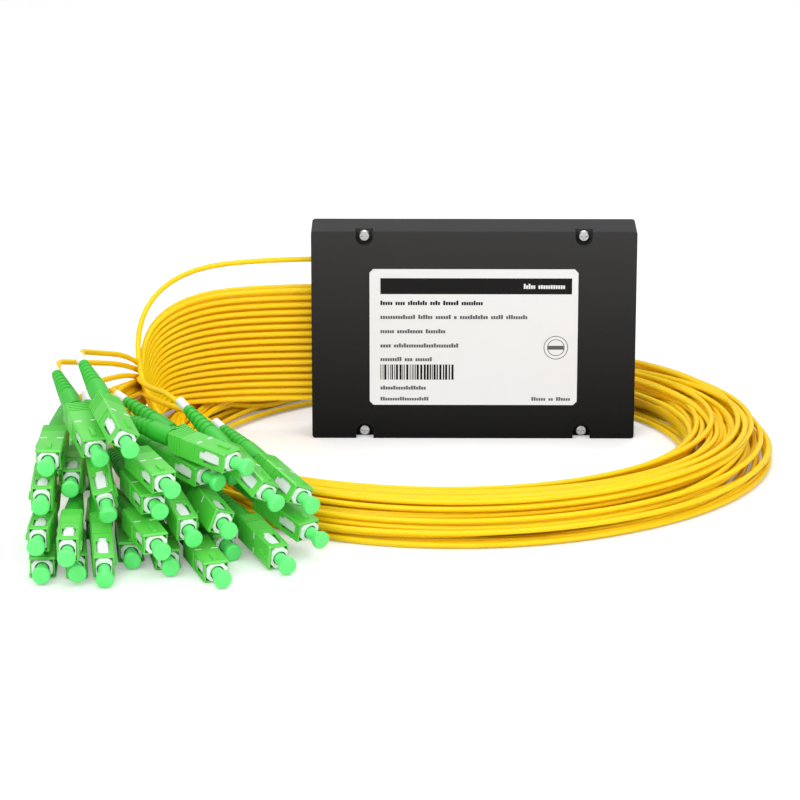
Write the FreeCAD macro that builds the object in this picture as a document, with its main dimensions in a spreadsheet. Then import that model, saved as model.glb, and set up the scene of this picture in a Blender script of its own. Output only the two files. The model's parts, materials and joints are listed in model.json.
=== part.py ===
import FreeCAD, Part
import math
import os
from typing import NamedTuple

import Sketcher

# A 1 x 32 planar fibre splitter in its box, with one input and 32 output
# cables and a push-pull plug on each of them.
#
# Lengths are millimetres. The origin is the middle of the box's underside, +Z
# is up, the cover faces -Y and the cables leave through the -X wall.

Vector = FreeCAD.Vector
Rotation = FreeCAD.Rotation
Placement = FreeCAD.Placement

X_AXIS = Vector(1, 0, 0)
Y_AXIS = Vector(0, 1, 0)
Z_AXIS = Vector(0, 0, 1)
ALONG_X = Rotation(Y_AXIS, 90)
ALONG_Y = Rotation(X_AXIS, -90)

SIZES = {
    # box
    "box_length": "120",
    "box_height": "80",
    "box_depth": "18",
    "box_wall": "2",
    "corner_radius": "1.2",
    "cover_plate": "2.2",
    "cover_edge": "0.35",
    "lip_wall": "1.2",
    "lip_depth": "1.4",
    "lip_clearance": "0.2",
    # cover screws and the notches that they sit in
    "screw_from_side": "19.6",
    "screw_from_edge": "2.5",
    "notch_radius": "3.2",
    "notch_depth": "4",
    "boss_margin": "0.6",
    "screw_head_radius": "2.1",
    "screw_head_height": "1.6",
    "screw_shank_radius": "1",
    "screw_length": "8",
    "screw_clearance": "0.05",
    "drive_width": "0.7",
    "drive_depth": "0.9",
    # label
    "label_width": "77",
    "label_height": "52.4",
    "label_thickness": "0.2",
    "label_middle": "39.4",
    "label_clip": "1.4",
    # cables and the holes that they leave through
    "jacket_radius": "1",
    "outlet_clearance": "0.15",
    "outlet_rows": "16",
    "outlet_pitch": "2.79",
    "lowest_outlet": "13.9",
    "outlet_column": "2.5",
    "input_outlet": "67",
    # clamp that grips the jackets behind the outlets
    "clamp_gap": "5",
    "clamp_length": "8",
    "clamp_thickness": "10",
    "clamp_margin": "4.2",
    "clamp_screw_radius": "0.9",
    "clamp_screw_head": "1.7",
    "clamp_screw_head_height": "1",
    "clamp_screw_top": "5.6",
    "jacket_end": "1",
    # splitter: chip and fibre blocks in a steel tube
    "tube_length": "50",
    "tube_width": "7",
    "tube_height": "4.4",
    "tube_wall": "0.4",
    "tube_middle": "11",
    "chip_length": "20",
    "chip_width": "4.6",
    "chip_height": "2.4",
    "input_block_length": "6",
    "output_block_length": "10",
    "saddle_length": "4",
    # ribbons and the block that fans them out
    "ribbon_width": "2.1",
    "ribbon_thickness": "0.3",
    "ribbon_pitch": "0.5",
    "ribbon_straight": "2",
    "ribbon_bend": "15",
    "fan_block_length": "24",
    "fan_block_height": "34",
    "fan_block_depth": "8",
    "buffer_radius": "0.45",
    "buffer_pitch": "1.8",
    "buffer_column": "1.8",
    # coupling sleeve of a plug
    "sleeve_width": "9",
    "sleeve_height": "7.4",
    "sleeve_length": "25",
    "sleeve_wall": "0.8",
    "sleeve_chamfer": "0.5",
    "sleeve_travel": "1.2",
    "rail_recess": "0.35",
    "rail_width": "0.8",
    "rail_length": "13",
    "window_front": "3.4",
    "window_length": "5.6",
    "window_height": "4.6",
    "window_step_length": "2.2",
    "window_step_height": "2.6",
    "window_lip_length": "1.1",
    "window_lip_height": "3.6",
    "key_width": "1.5",
    "key_length": "4.6",
    "key_height": "0.8",
    "key_front": "1.6",
    "grip_pitch": "1.1",
    "grip_width": "0.5",
    "grip_depth": "0.25",
    "grip_start": "1",
    # plug frame, ferrule, spring and rear body inside the sleeve
    "frame_clearance": "0.15",
    "frame_length": "22",
    "frame_proud": "0.9",
    "frame_chamfer": "1.2",
    "socket_radius": "2.5",
    "socket_depth": "8",
    "ferrule_radius": "1.25",
    "ferrule_length": "10.5",
    "ferrule_clearance": "0.1",
    "flange_radius": "2.1",
    "flange_length": "1.5",
    "frame_web": "1.2",
    "chamber_radius": "2.3",
    "spring_wire": "0.22",
    "spring_radius": "1.7",
    "spring_length": "6",
    "spring_turns": "5",
    "spring_seat": "0.15",
    "body_bore": "0.75",
    "body_flange_length": "1.5",
    "barrel_radius": "1.75",
    "barrel_length": "8",
    "crimp_clearance": "0.1",
    "crimp_wall": "0.45",
    "crimp_length": "6.5",
    # boot, tail marker and dust cap
    "boot_clearance": "0.1",
    "boot_neck_radius": "2.75",
    "boot_inside": "2",
    "boot_gap": "1.5",
    "boot_base_radius": "3.4",
    "boot_base_length": "7",
    "boot_tail_radius": "1.9",
    "boot_taper_length": "17",
    "boot_groove_depth": "0.5",
    "marker_wall": "0.5",
    "marker_length": "5",
    "marker_clearance": "0.1",
    "cap_neck_radius": "1.95",
    "cap_collar_radius": "2.1",
    "cap_head_radius": "3.1",
    "cap_head_length": "2.6",
    "cap_proud": "7",
    "cap_depth": "6",
    "cap_wall": "2.8",
    "cap_edge": "0.7",
    # coil of cable on the floor round the box, and the strap that ties it
    "coil_middle_x": "-10",
    "coil_middle_y": "-25",
    "coil_half_length": "104",
    "coil_half_width": "90",
    "bundle_half_width": "20.5",
    "bundle_height": "16",
    "strap_width": "16",
    "strap_thickness": "1",
    "strap_half_width": "14",
    "strap_half_height": "7.6",
    # heap of plugs
    "pile_gap": "1",
    "boot_waist_radius": "2.6",
    "boot_waist_length": "10.3",
}

OUTPUTS = 32
PLUGS = OUTPUTS + 1
OUTLET_COLUMNS = 2
RIBBONS = 4
GRIP_GROOVES = 5
BOOT_GROOVES = 6
SETTLING_STEPS = 180
PULLED_STEPS = 120


class Plug(NamedTuple):
    """Where a plug is put down in the heap, in millimetres and degrees.

    x, y and z are the tip of its cap; bearing is the way it points, from -Y
    towards +X; pitch drops its tip; roll turns its key.
    """

    x: float
    y: float
    z: float
    bearing: float
    pitch: float
    roll: float


# The settling below moves each of these a little, until none touches another.
HEAP = (
    # on the floor
    Plug(-129, -130, 3.7, 0, 0, 0),
    Plug(-153, -78, 3.7, -3, 0, 0),
    Plug(-142, -78, 3.7, 0, 0, 0),
    Plug(-144, -168, 3.4, -2, 1, 0),
    Plug(-132, -169, 3.7, 0, 1, 90),
    Plug(-124, -171, 3.7, 4, 18, -90),
    Plug(-114, -152, 3.7, 6, 3, 0),
    Plug(-104, -159, 3.4, 14, 6, 0),
    Plug(-83, -170, 3.4, 25, 7, 0),
    Plug(-85, -146, 3.4, 26, 7, 0),
    Plug(-65, -159, 3.7, 30, 7, 90),
    Plug(-53, -143, 6, 46, 7, 0),
    # second layer
    Plug(-153, -77, 12.6, -3, 0, 0),
    Plug(-142, -77, 12.6, 0, 0, 0),
    Plug(-147, -168, 12, -2, 8, 90),
    Plug(-136, -178, 8, 1, 12, -90),
    Plug(-105, -168, 12, 22, 7, 0),
    Plug(-95, -158, 12, 20, 7, -90),
    Plug(-84, -154, 13, 22, 8, -110),
    Plug(-102, -123, 16, 30, 6, 0),
    Plug(-69, -146, 17, 38, 8, -30),
    Plug(-57, -142, 17, 38, 8, -25),
    # third layer
    Plug(-142, -156, 22, -2, 2, 90),
    Plug(-135, -140, 24, -1, 4, 90),
    Plug(-126, -153, 20, 5, 20, -75),
    Plug(-108, -156, 21, 26, 7, 0),
    Plug(-83, -122, 21, 48, 6, 0),
    Plug(-87, -137, 25, 52, 7, 0),
    # top
    Plug(-145, -144, 31, -2, 1, 0),
    Plug(-102, -159, 29, 32, 7, 0),
    Plug(-77, -146, 34, 54, 5, 0),
    Plug(-124, -145, 36, 18, 9, 0),
    Plug(-117, -155, 42, 24, 9, -30),
)

doc = FreeCAD.newDocument("fibre_splitter")
sheet = doc.addObject("Spreadsheet::Sheet", "Sizes")
for row, (alias, value) in enumerate(SIZES.items(), start=1):
    sheet.set(f"A{row}", alias)
    sheet.set(f"B{row}", value)
    sheet.setAlias(f"B{row}", alias)
doc.recompute()

parts = []


def value_of(expression):
    """The value of an expression of the sheet's cells."""
    return float(sheet.evalExpression(expression))


def size(alias):
    """The value of one cell of the sheet."""
    return float(getattr(sheet, alias))


def bind(thing, bindings):
    """Bind properties of an object to expressions of the sheet."""
    for name, expression in bindings.items():
        thing.setExpression(name, expression)
    return thing


def at(x, y, z):
    """Bindings of a placement's base."""
    return {"Placement.Base.x": x, "Placement.Base.y": y, "Placement.Base.z": z}


def keep(thing, label):
    """Name a finished sub-part and list it for export."""
    thing.Label = label
    parts.append(thing)
    return thing


# ---------------------------------------------------------------- primitives


def block(name, length, width, height, x, y, z):
    """A box with its low corner at x, y, z; all are expressions."""
    thing = doc.addObject("Part::Box", name)
    bind(thing, {"Length": length, "Width": width, "Height": height})
    return bind(thing, at(x, y, z))


def rod(name, turn, radius, length, x, y, z):
    """A cylinder from x, y, z along the axis that turn gives Z."""
    thing = doc.addObject("Part::Cylinder", name)
    thing.Placement = Placement(Vector(), turn)
    bind(thing, {"Radius": radius, "Height": length})
    return bind(thing, at(x, y, z))


def fuse(name, things):
    """Join several objects."""
    joined = doc.addObject("Part::MultiFuse", name)
    joined.Shapes = things
    return joined


def cut(name, base, tools):
    """Take several objects out of one."""
    thing = doc.addObject("Part::Cut", name)
    thing.Base = base
    thing.Tool = tools[0] if len(tools) == 1 else fuse(name + "_tools", tools)
    return thing


def shaped(name, shape, placement=None):
    """A feature that holds a shape made with Part's own functions."""
    thing = doc.addObject("Part::Feature", name)
    thing.Shape = shape
    if placement is not None:
        thing.Placement = placement
    return thing


# ------------------------------------------------------------ PartDesign help


def origin(body, role):
    """The plane or axis of a body's own origin that has this role."""
    return next(f for f in body.Origin.OriginFeatures if f.Role == role)


def body_box(body, kind, name, length, width, height, x, y, z):
    """Add or subtract a box in a body; kind is Additive or Subtractive."""
    thing = body.newObject(f"PartDesign::{kind}Box", name)
    bind(thing, {"Length": length, "Width": width, "Height": height})
    return bind(thing, at(x, y, z))


def body_rod(body, kind, name, turn, radius, length, x, y, z):
    """Add or subtract a cylinder in a body."""
    thing = body.newObject(f"PartDesign::{kind}Cylinder", name)
    thing.Placement = Placement(Vector(), turn)
    bind(thing, {"Radius": radius, "Height": length})
    return bind(thing, at(x, y, z))


def edges_where(feature, wanted):
    """Names of the edges for which wanted is true."""
    return [
        f"Edge{number}"
        for number, edge in enumerate(feature.Shape.Edges, start=1)
        if wanted(edge)
    ]


def round_edges(body, name, radius, wanted):
    """Fillet those edges of a body's tip for which wanted is true."""
    doc.recompute()
    tip = body.Tip
    fillet = body.newObject("PartDesign::Fillet", name)
    fillet.Base = (tip, edges_where(tip, wanted))
    return bind(fillet, {"Radius": radius})


def turned(name, profile):
    """A body of revolution about X from (distance along X, radius) expressions.

    The outline closes on itself, so a hollow piece gives its bore as well.
    """
    body = doc.addObject("PartDesign::Body", name)
    sketch = body.newObject("Sketcher::SketchObject", name + "_outline")
    sketch.AttachmentSupport = (origin(body, "XY_Plane"), [""])
    sketch.MapMode = "FlatFace"
    corners = [Vector(value_of(x), value_of(y), 0) for x, y in profile]
    count = len(corners)
    for i in range(count):
        sketch.addGeometry(Part.LineSegment(corners[i], corners[(i + 1) % count]))
    for i in range(count):
        sketch.addConstraint(
            Sketcher.Constraint("Coincident", i, 2, (i + 1) % count, 1)
        )
    for i, (x, y) in enumerate(profile):
        for kind, distance, axis in (("DistanceX", x, -2), ("DistanceY", y, -1)):
            if distance == "0":
                sketch.addConstraint(Sketcher.Constraint("PointOnObject", i, 1, axis))
                continue
            number = sketch.addConstraint(
                Sketcher.Constraint(kind, -1, 1, i, 1, value_of(distance))
            )
            sketch.setExpression(f"Constraints[{number}]", distance)
    revolution = body.newObject("PartDesign::Revolution", name + "_turn")
    revolution.Profile = sketch
    revolution.ReferenceAxis = (sketch, ["H_Axis"])
    revolution.Angle = 360
    return body


# ------------------------------------------------------------------- the box

LEFT = "-Sizes.box_length / 2"
FRONT = "-Sizes.box_depth / 2"
BACK = "Sizes.box_depth / 2"
RIM = "-Sizes.box_depth / 2 + Sizes.cover_plate"
FLOOR_OF_TRAY = "Sizes.box_depth / 2 - Sizes.box_wall"
INNER_LEFT = "-Sizes.box_length / 2 + Sizes.box_wall"
CLAMP_LEFT = "-Sizes.box_length / 2 + Sizes.box_wall + Sizes.clamp_gap"
CLAMP_MIDDLE = f"({CLAMP_LEFT} + Sizes.clamp_length / 2)"
CLAMP_BACK = "Sizes.clamp_thickness / 2"
CLAMP_LOW = "(Sizes.lowest_outlet - Sizes.clamp_margin - 2 * Sizes.clamp_screw_head)"
CLAMP_HIGH = "(Sizes.input_outlet + Sizes.clamp_margin)"
TOP_OUTLET = "(Sizes.lowest_outlet + (Sizes.outlet_rows - 1) * Sizes.outlet_pitch)"
CLAMP_SCREWS = (
    "Sizes.lowest_outlet - Sizes.clamp_margin",
    f"({TOP_OUTLET} + Sizes.input_outlet) / 2",
)
FAN_LEFT = "(Sizes.tube_middle + Sizes.tube_length / 2 - 6 - Sizes.fan_block_length)"
FAN_MIDDLE = "(Sizes.input_outlet - 2 * Sizes.ribbon_bend)"
TUBE_LEFT = "(Sizes.tube_middle - Sizes.tube_length / 2)"

# the four cover screws: signs of X and whether they are at the upper edge
SCREWS = [(sign, upper) for upper in (False, True) for sign in (-1, 1)]


def screw_x(sign):
    """Where a cover screw is along X."""
    return f"{sign} * (Sizes.box_length / 2 - Sizes.screw_from_side)"


def screw_z(upper):
    """Where a cover screw is along Z."""
    edge = "Sizes.screw_from_edge"
    return f"Sizes.box_height - {edge}" if upper else edge


def cut_notches(body):
    """Open a U-shaped notch at each cover screw, out through the nearer edge."""
    for number, (sign, upper) in enumerate(SCREWS):
        x = screw_x(sign)
        body_rod(
            body, "Subtractive", f"{body.Name}_notch{number}", ALONG_Y,
            "Sizes.notch_radius", "Sizes.notch_depth", x, FRONT, screw_z(upper),
        )
        body_box(
            body, "Subtractive", f"{body.Name}_mouth{number}",
            "2 * Sizes.notch_radius", "Sizes.notch_depth", "Sizes.screw_from_edge",
            f"{x} - Sizes.notch_radius", FRONT,
            "Sizes.box_height - Sizes.screw_from_edge" if upper else "0",
        )


def drill_outlets(body, radius, x, length):
    """Drill the two columns of output holes and the input hole along X."""
    for number, side in enumerate((-1, 1)):
        hole = body_rod(
            body, "Subtractive", f"{body.Name}_column{number}", ALONG_X, radius,
            length, x, f"{side} * Sizes.outlet_column", "Sizes.lowest_outlet",
        )
        pattern = body.newObject(
            "PartDesign::LinearPattern", f"{body.Name}_rows{number}"
        )
        pattern.Originals = [hole]
        pattern.Direction = (origin(body, "Z_Axis"), [""])
        pattern.Occurrences = int(size("outlet_rows"))
        bind(
            pattern, {"Length": "(Sizes.outlet_rows - 1) * Sizes.outlet_pitch"}
        )
        body.Tip = pattern
    body_rod(
        body, "Subtractive", f"{body.Name}_input", ALONG_X, radius, length, x, "0",
        "Sizes.input_outlet",
    )


def at_corner(edge):
    """Is this edge one of the box's four outer corners, along Y?"""
    low, high = edge.Vertexes[0].Point, edge.Vertexes[-1].Point
    middle = (low + high) * 0.5
    along_y = abs((high - low).normalize().y) > 0.999
    at_side = abs(abs(middle.x) - size("box_length") / 2) < 1e-6
    half = size("box_height") / 2
    return along_y and at_side and abs(abs(middle.z - half) - half) < 1e-6


def make_base_tray():
    """The deep moulded half: back, four walls, screw bosses, pads and outlets."""
    tray = doc.addObject("PartDesign::Body", "tray")
    body_box(
        tray, "Additive", "tray_outside", "Sizes.box_length",
        "Sizes.box_depth - Sizes.cover_plate", "Sizes.box_height", LEFT, RIM, "0",
    )
    round_edges(tray, "tray_corners", "Sizes.corner_radius", at_corner)
    body_box(
        tray, "Subtractive", "tray_inside", "Sizes.box_length - 2 * Sizes.box_wall",
        "Sizes.box_depth - Sizes.cover_plate - Sizes.box_wall",
        "Sizes.box_height - 2 * Sizes.box_wall", INNER_LEFT, RIM, "Sizes.box_wall",
    )
    boss = "(Sizes.notch_radius + Sizes.boss_margin)"
    for number, (sign, upper) in enumerate(SCREWS):
        tall = f"(Sizes.screw_from_edge + {boss} - Sizes.box_wall / 2)"
        body_box(
            tray, "Additive", f"boss{number}", f"2 * {boss}",
            f"{FLOOR_OF_TRAY} - ({RIM}) + Sizes.box_wall / 2", tall,
            f"{screw_x(sign)} - {boss}", RIM,
            f"Sizes.box_height - Sizes.box_wall / 2 - {tall}" if upper
            else "Sizes.box_wall / 2",
        )
    pads = [
        (CLAMP_LEFT, "Sizes.clamp_length", f"{z} - Sizes.clamp_margin / 2",
         "Sizes.clamp_margin", CLAMP_BACK)
        for z in CLAMP_SCREWS
    ]
    for end in ("Sizes.saddle_length", "Sizes.tube_length - 2 * Sizes.saddle_length"):
        pads.append(
            (f"{TUBE_LEFT} + {end}", "Sizes.saddle_length",
             "Sizes.input_outlet - Sizes.tube_height / 2", "Sizes.tube_height",
             "Sizes.tube_width / 2")
        )
    pads.append(
        (f"{FAN_LEFT} + Sizes.saddle_length",
         "Sizes.fan_block_length - 2 * Sizes.saddle_length",
         f"{FAN_MIDDLE} - Sizes.fan_block_height / 4", "Sizes.fan_block_height / 2",
         "Sizes.fan_block_depth / 2")
    )
    for number, (x, length, z, height, top) in enumerate(pads):
        body_box(
            tray, "Additive", f"pad{number}", length,
            f"{FLOOR_OF_TRAY} - {top} + Sizes.box_wall / 2", height, x, top, z,
        )
    cut_notches(tray)
    for number, (sign, upper) in enumerate(SCREWS):
        body_rod(
            tray, "Subtractive", f"pilot{number}", ALONG_Y,
            "Sizes.screw_shank_radius + Sizes.screw_clearance",
            "Sizes.screw_length + 0.5", screw_x(sign),
            f"{FRONT} + Sizes.notch_depth", screw_z(upper),
        )
    for number, z in enumerate(CLAMP_SCREWS):
        body_rod(
            tray, "Subtractive", f"clamp_pilot{number}", ALONG_Y,
            "Sizes.clamp_screw_radius + Sizes.screw_clearance",
            f"{FLOOR_OF_TRAY} - {CLAMP_BACK} + Sizes.box_wall / 2", CLAMP_MIDDLE,
            CLAMP_BACK, z,
        )
    drill_outlets(
        tray, "Sizes.jacket_radius + Sizes.outlet_clearance", f"{LEFT} - 1",
        "Sizes.box_wall + 2",
    )
    return keep(tray, "base_tray")


def make_cover():
    """The flat cover with its locating lips and notches."""
    cover = doc.addObject("PartDesign::Body", "cover_body")
    body_box(
        cover, "Additive", "cover_plate", "Sizes.box_length", "Sizes.cover_plate",
        "Sizes.box_height", LEFT, FRONT, "0",
    )
    round_edges(cover, "cover_corners", "Sizes.corner_radius", at_corner)
    round_edges(
        cover, "cover_rim", "Sizes.cover_edge",
        lambda edge: all(
            abs(v.Point.y + size("box_depth") / 2) < 1e-6 for v in edge.Vertexes
        ),
    )
    inset = "(Sizes.box_wall + Sizes.lip_clearance)"
    clear = "(Sizes.screw_from_edge + Sizes.notch_radius + 2 * Sizes.boss_margin)"
    across = f"(Sizes.box_length / 2 - Sizes.screw_from_side - {clear})"
    lips = [
        ("Sizes.lip_wall", f"Sizes.box_height - 2 * {clear}", x, clear)
        for x in (f"{LEFT} + {inset}", f"-({LEFT}) - {inset} - Sizes.lip_wall")
    ]
    lips += [
        (f"2 * {across}", "Sizes.lip_wall", f"-{across}", z)
        for z in (inset, f"Sizes.box_height - {inset} - Sizes.lip_wall")
    ]
    for number, (length, height, x, z) in enumerate(lips):
        body_box(
            cover, "Additive", f"lip{number}", length,
            "Sizes.lip_depth + Sizes.cover_plate / 2", height, x,
            f"{RIM} - Sizes.cover_plate / 2", z,
        )
    cut_notches(cover)
    return keep(cover, "cover")


def make_screws(label, spots, head, head_height, shank, length, drive):
    """A group of like screws whose heads face -Y, from (x, y, z) of the seats."""
    screw = turned(
        label + "_blank",
        [("0", "0"), ("0", f"{head} * 0.8"), (f"{head_height} * 0.35", head),
         (head_height, head), (head_height, shank),
         (f"{head_height} + {length}", shank), (f"{head_height} + {length}", "0")],
    )
    slots = [
        block(
            f"{label}_slot{number}", f"2 * {drive}", width, tall, f"-{drive}",
            f"-{width} / 2", f"-{tall} / 2",
        )
        for number, (width, tall) in enumerate(
            (("Sizes.drive_width", f"1.3 * {head}"), (f"1.3 * {head}", "Sizes.drive_width"))
        )
    ]
    crossed = cut(label + "_crossed", screw, slots)
    doc.recompute()
    turn = Rotation(Z_AXIS, 90)
    copies = []
    for x, y, z in spots:
        shape = crossed.Shape.copy()
        seat = Vector(value_of(x), value_of(y) - value_of(head_height), value_of(z))
        shape.Placement = Placement(seat, turn)
        copies.append(shape)
    return keep(shaped(label, Part.makeCompound(copies)), label)


def make_label():
    """The blank rating label, with clipped corners."""
    label = doc.addObject("PartDesign::Body", "label")
    sheet_box = body_box(
        label, "Additive", "label_sheet", "Sizes.label_width",
        "Sizes.label_thickness", "Sizes.label_height", "-Sizes.label_width / 2",
        f"{FRONT} - Sizes.label_thickness",
        "Sizes.label_middle - Sizes.label_height / 2",
    )
    doc.recompute()
    clip = label.newObject("PartDesign::Chamfer", "label_corners")
    clip.Base = (
        sheet_box,
        edges_where(
            sheet_box,
            lambda e: abs((e.Vertexes[1].Point - e.Vertexes[0].Point).normalize().y)
            > 0.999,
        ),
    )
    bind(clip, {"Size": "Sizes.label_clip"})
    return keep(label, "rating_label")


def make_clamp():
    """The bar that grips every jacket behind the outlets."""
    clamp = doc.addObject("PartDesign::Body", "clamp")
    body_box(
        clamp, "Additive", "clamp_bar", "Sizes.clamp_length", "Sizes.clamp_thickness",
        f"{CLAMP_HIGH} - {CLAMP_LOW}", CLAMP_LEFT, f"-{CLAMP_BACK}", CLAMP_LOW,
    )
    for number, z in enumerate(CLAMP_SCREWS):
        body_rod(
            clamp, "Subtractive", f"clamp_hole{number}", ALONG_Y,
            "Sizes.clamp_screw_radius + Sizes.screw_clearance",
            "Sizes.clamp_thickness", CLAMP_MIDDLE, f"-{CLAMP_BACK}", z,
        )
    drill_outlets(clamp, "Sizes.jacket_radius", CLAMP_LEFT, "Sizes.clamp_length")
    return keep(clamp, "cable_clamp")


def make_splitter():
    """The chip with its two fibre blocks, in the steel tube."""
    low = "Sizes.input_outlet - Sizes.tube_height / 2"
    outside = block(
        "tube_outside", "Sizes.tube_length", "Sizes.tube_width", "Sizes.tube_height",
        TUBE_LEFT, "-Sizes.tube_width / 2", low,
    )
    inside = block(
        "tube_inside", "Sizes.tube_length + 2",
        "Sizes.tube_width - 2 * Sizes.tube_wall",
        "Sizes.tube_height - 2 * Sizes.tube_wall", f"{TUBE_LEFT} - 1",
        "-Sizes.tube_width / 2 + Sizes.tube_wall", f"{low} + Sizes.tube_wall",
    )
    keep(cut("splitter_tube", outside, [inside]), "splitter_tube")
    start = "(Sizes.tube_middle - Sizes.chip_length / 2)"
    end = "(Sizes.tube_middle + Sizes.chip_length / 2)"
    pieces = (
        ("splitter_chip", "Sizes.chip_length", start),
        ("input_fibre_block", "Sizes.input_block_length",
         f"{start} - Sizes.input_block_length"),
        ("output_fibre_block", "Sizes.output_block_length", end),
    )
    for name, length, x in pieces:
        keep(
            block(
                name + "_block", length, "Sizes.chip_width", "Sizes.chip_height", x,
                "-Sizes.chip_width / 2", "Sizes.input_outlet - Sizes.chip_height / 2",
            ),
            name,
        )


# --------------------------------------------------- cords, fibres and ribbons


def rounded_route(points):
    """Straight runs through the points, joined by tangent arcs.

    Each arc takes 0.45 of the shorter of its two runs. Returns the wire and
    the smallest radius.
    """
    edges, start, smallest = [], points[0], math.inf
    for before, corner, after in zip(points, points[1:], points[2:]):
        back, on = before - corner, after - corner
        reach = 0.45 * min(back.Length, on.Length)
        turn = math.pi - back.getAngle(on)
        entry = corner + back.normalize() * reach
        leave = corner + on.normalize() * reach
        radius = reach / math.tan(turn / 2)
        inward = (back + on).normalize()
        middle = corner + inward * (math.hypot(radius, reach) - radius)
        edges.append(Part.LineSegment(start, entry).toShape())
        edges.append(Part.Arc(entry, middle, leave).toShape())
        start, smallest = leave, min(smallest, radius)
    edges.append(Part.LineSegment(start, points[-1]).toShape())
    return Part.Wire(edges), smallest


def tube(points, radius):
    """A round solid along a rounded route, and its smallest bend radius."""
    route, smallest = rounded_route(points)
    ring = Part.Wire(
        Part.makeCircle(radius, points[0], points[1] - points[0])
    )
    solid = route.makePipeShell([ring], True, False)
    expected = math.pi * radius**2 * route.Length
    if abs(solid.Volume - expected) > 0.01 * expected:
        raise RuntimeError(f"a tube's volume is {solid.Volume}, not {expected}")
    return solid, smallest


def outlet_at(number):
    """Y and Z of an output's hole; the rows fill from below, two to a row."""
    row, column = divmod(number, OUTLET_COLUMNS)
    y = (2 * column - 1) * size("outlet_column")
    return y, size("lowest_outlet") + row * size("outlet_pitch")


def jacket_start():
    """X of the jackets' stripped ends, inside the clamp."""
    return value_of(f"{CLAMP_LEFT} + Sizes.clamp_length - Sizes.jacket_end")


def outlet_route(y, z):
    """How a cable goes from the clamp, out to the left and down onto the coil.

    The higher it leaves, the wider it swings.
    """
    lift = z / size("input_outlet")
    return [
        Vector(jacket_start(), y, z),
        Vector(-74 - 2 * lift, y, z),
        Vector(-100 - 8 * lift, y + 1, 0.95 * z - 1),
        Vector(-114 - 10 * lift, y - 14, 6 + 0.66 * z),
        Vector(-114 - 8 * lift, y - 40, 6 + 0.36 * z),
        Vector(-98 - 8 * lift, y - 62, 7 + 0.12 * z),
        Vector(-78, -89, 8),
    ]


def make_cables():
    """The stretches of cable between the box and the coil."""
    radius = size("jacket_radius")
    outputs = [tube(outlet_route(*outlet_at(i)), radius) for i in range(OUTPUTS)]
    entry, bend = tube(outlet_route(0, size("input_outlet")), radius)
    keep(shaped("outputs", Part.makeCompound([s for s, _ in outputs])), "output_cables")
    keep(shaped("entry", entry), "input_cable")
    print("smallest outlet radius", round(min([bend] + [b for _, b in outputs]), 1))


def make_inner_fibres():
    """Buffered fibres from the clamp to the fan-out block and to the chip."""
    radius = size("buffer_radius")
    left = value_of(FAN_LEFT)
    middle = value_of(FAN_MIDDLE)
    start = jacket_start()
    solids = []
    for number in range(OUTPUTS):
        row, column = divmod(number, OUTLET_COLUMNS)
        y, z = outlet_at(number)
        across = (2 * column - 1) * size("buffer_column")
        spread = (row - (OUTPUTS / OUTLET_COLUMNS - 1) / 2) * size("buffer_pitch")
        solids.append(
            tube(
                [
                    Vector(start, y, z),
                    Vector(start + 12, y, z),
                    Vector(left - 12, across, middle + spread),
                    Vector(left, across, middle + spread),
                ],
                radius,
            )[0]
        )
    z = size("input_outlet")
    chip = value_of(
        "Sizes.tube_middle - Sizes.chip_length / 2 - Sizes.input_block_length"
    )
    solids.append(Part.makeCylinder(radius, chip - start, Vector(start, 0, z), X_AXIS))
    keep(shaped("fibres", Part.makeCompound(solids)), "inner_fibres")
    keep(
        block(
            "fan_block", "Sizes.fan_block_length", "Sizes.fan_block_depth",
            "Sizes.fan_block_height", FAN_LEFT, "-Sizes.fan_block_depth / 2",
            f"{FAN_MIDDLE} - Sizes.fan_block_height / 2",
        ),
        "fan_out_block",
    )


def make_ribbons():
    """Four flat ribbons, out of the chip's end and round to the fan-out block."""
    width, thick = size("ribbon_width"), size("ribbon_thickness")
    start = value_of(
        "Sizes.tube_middle + Sizes.chip_length / 2 + Sizes.output_block_length"
    )
    bend_x = value_of(f"{TUBE_LEFT} + Sizes.tube_length + Sizes.ribbon_straight")
    end = value_of(f"{FAN_LEFT} + Sizes.fan_block_length")
    high, low = size("input_outlet"), value_of(FAN_MIDDLE)
    solids = []
    for number in range(RIBBONS):
        offset = (number - (RIBBONS - 1) / 2) * size("ribbon_pitch")
        reach = size("ribbon_bend") + offset
        route = Part.Wire(
            [
                Part.LineSegment(
                    Vector(start, 0, high + offset), Vector(bend_x, 0, high + offset)
                ).toShape(),
                Part.Arc(
                    Vector(bend_x, 0, high + offset),
                    Vector(bend_x + reach, 0, (high + low) / 2),
                    Vector(bend_x, 0, low - offset),
                ).toShape(),
                Part.LineSegment(
                    Vector(bend_x, 0, low - offset), Vector(end, 0, low - offset)
                ).toShape(),
            ]
        )
        corner = Vector(start, -width / 2, high + offset - thick / 2)
        section = Part.makePolygon(
            [
                corner,
                corner + Vector(0, width, 0),
                corner + Vector(0, width, thick),
                corner + Vector(0, 0, thick),
                corner,
            ]
        )
        solids.append(route.makePipeShell([section], True, False))
    keep(shaped("ribbons", Part.makeCompound(solids)), "ribbon_fibres")


# ------------------------------------------------------------------- the coil


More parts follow.
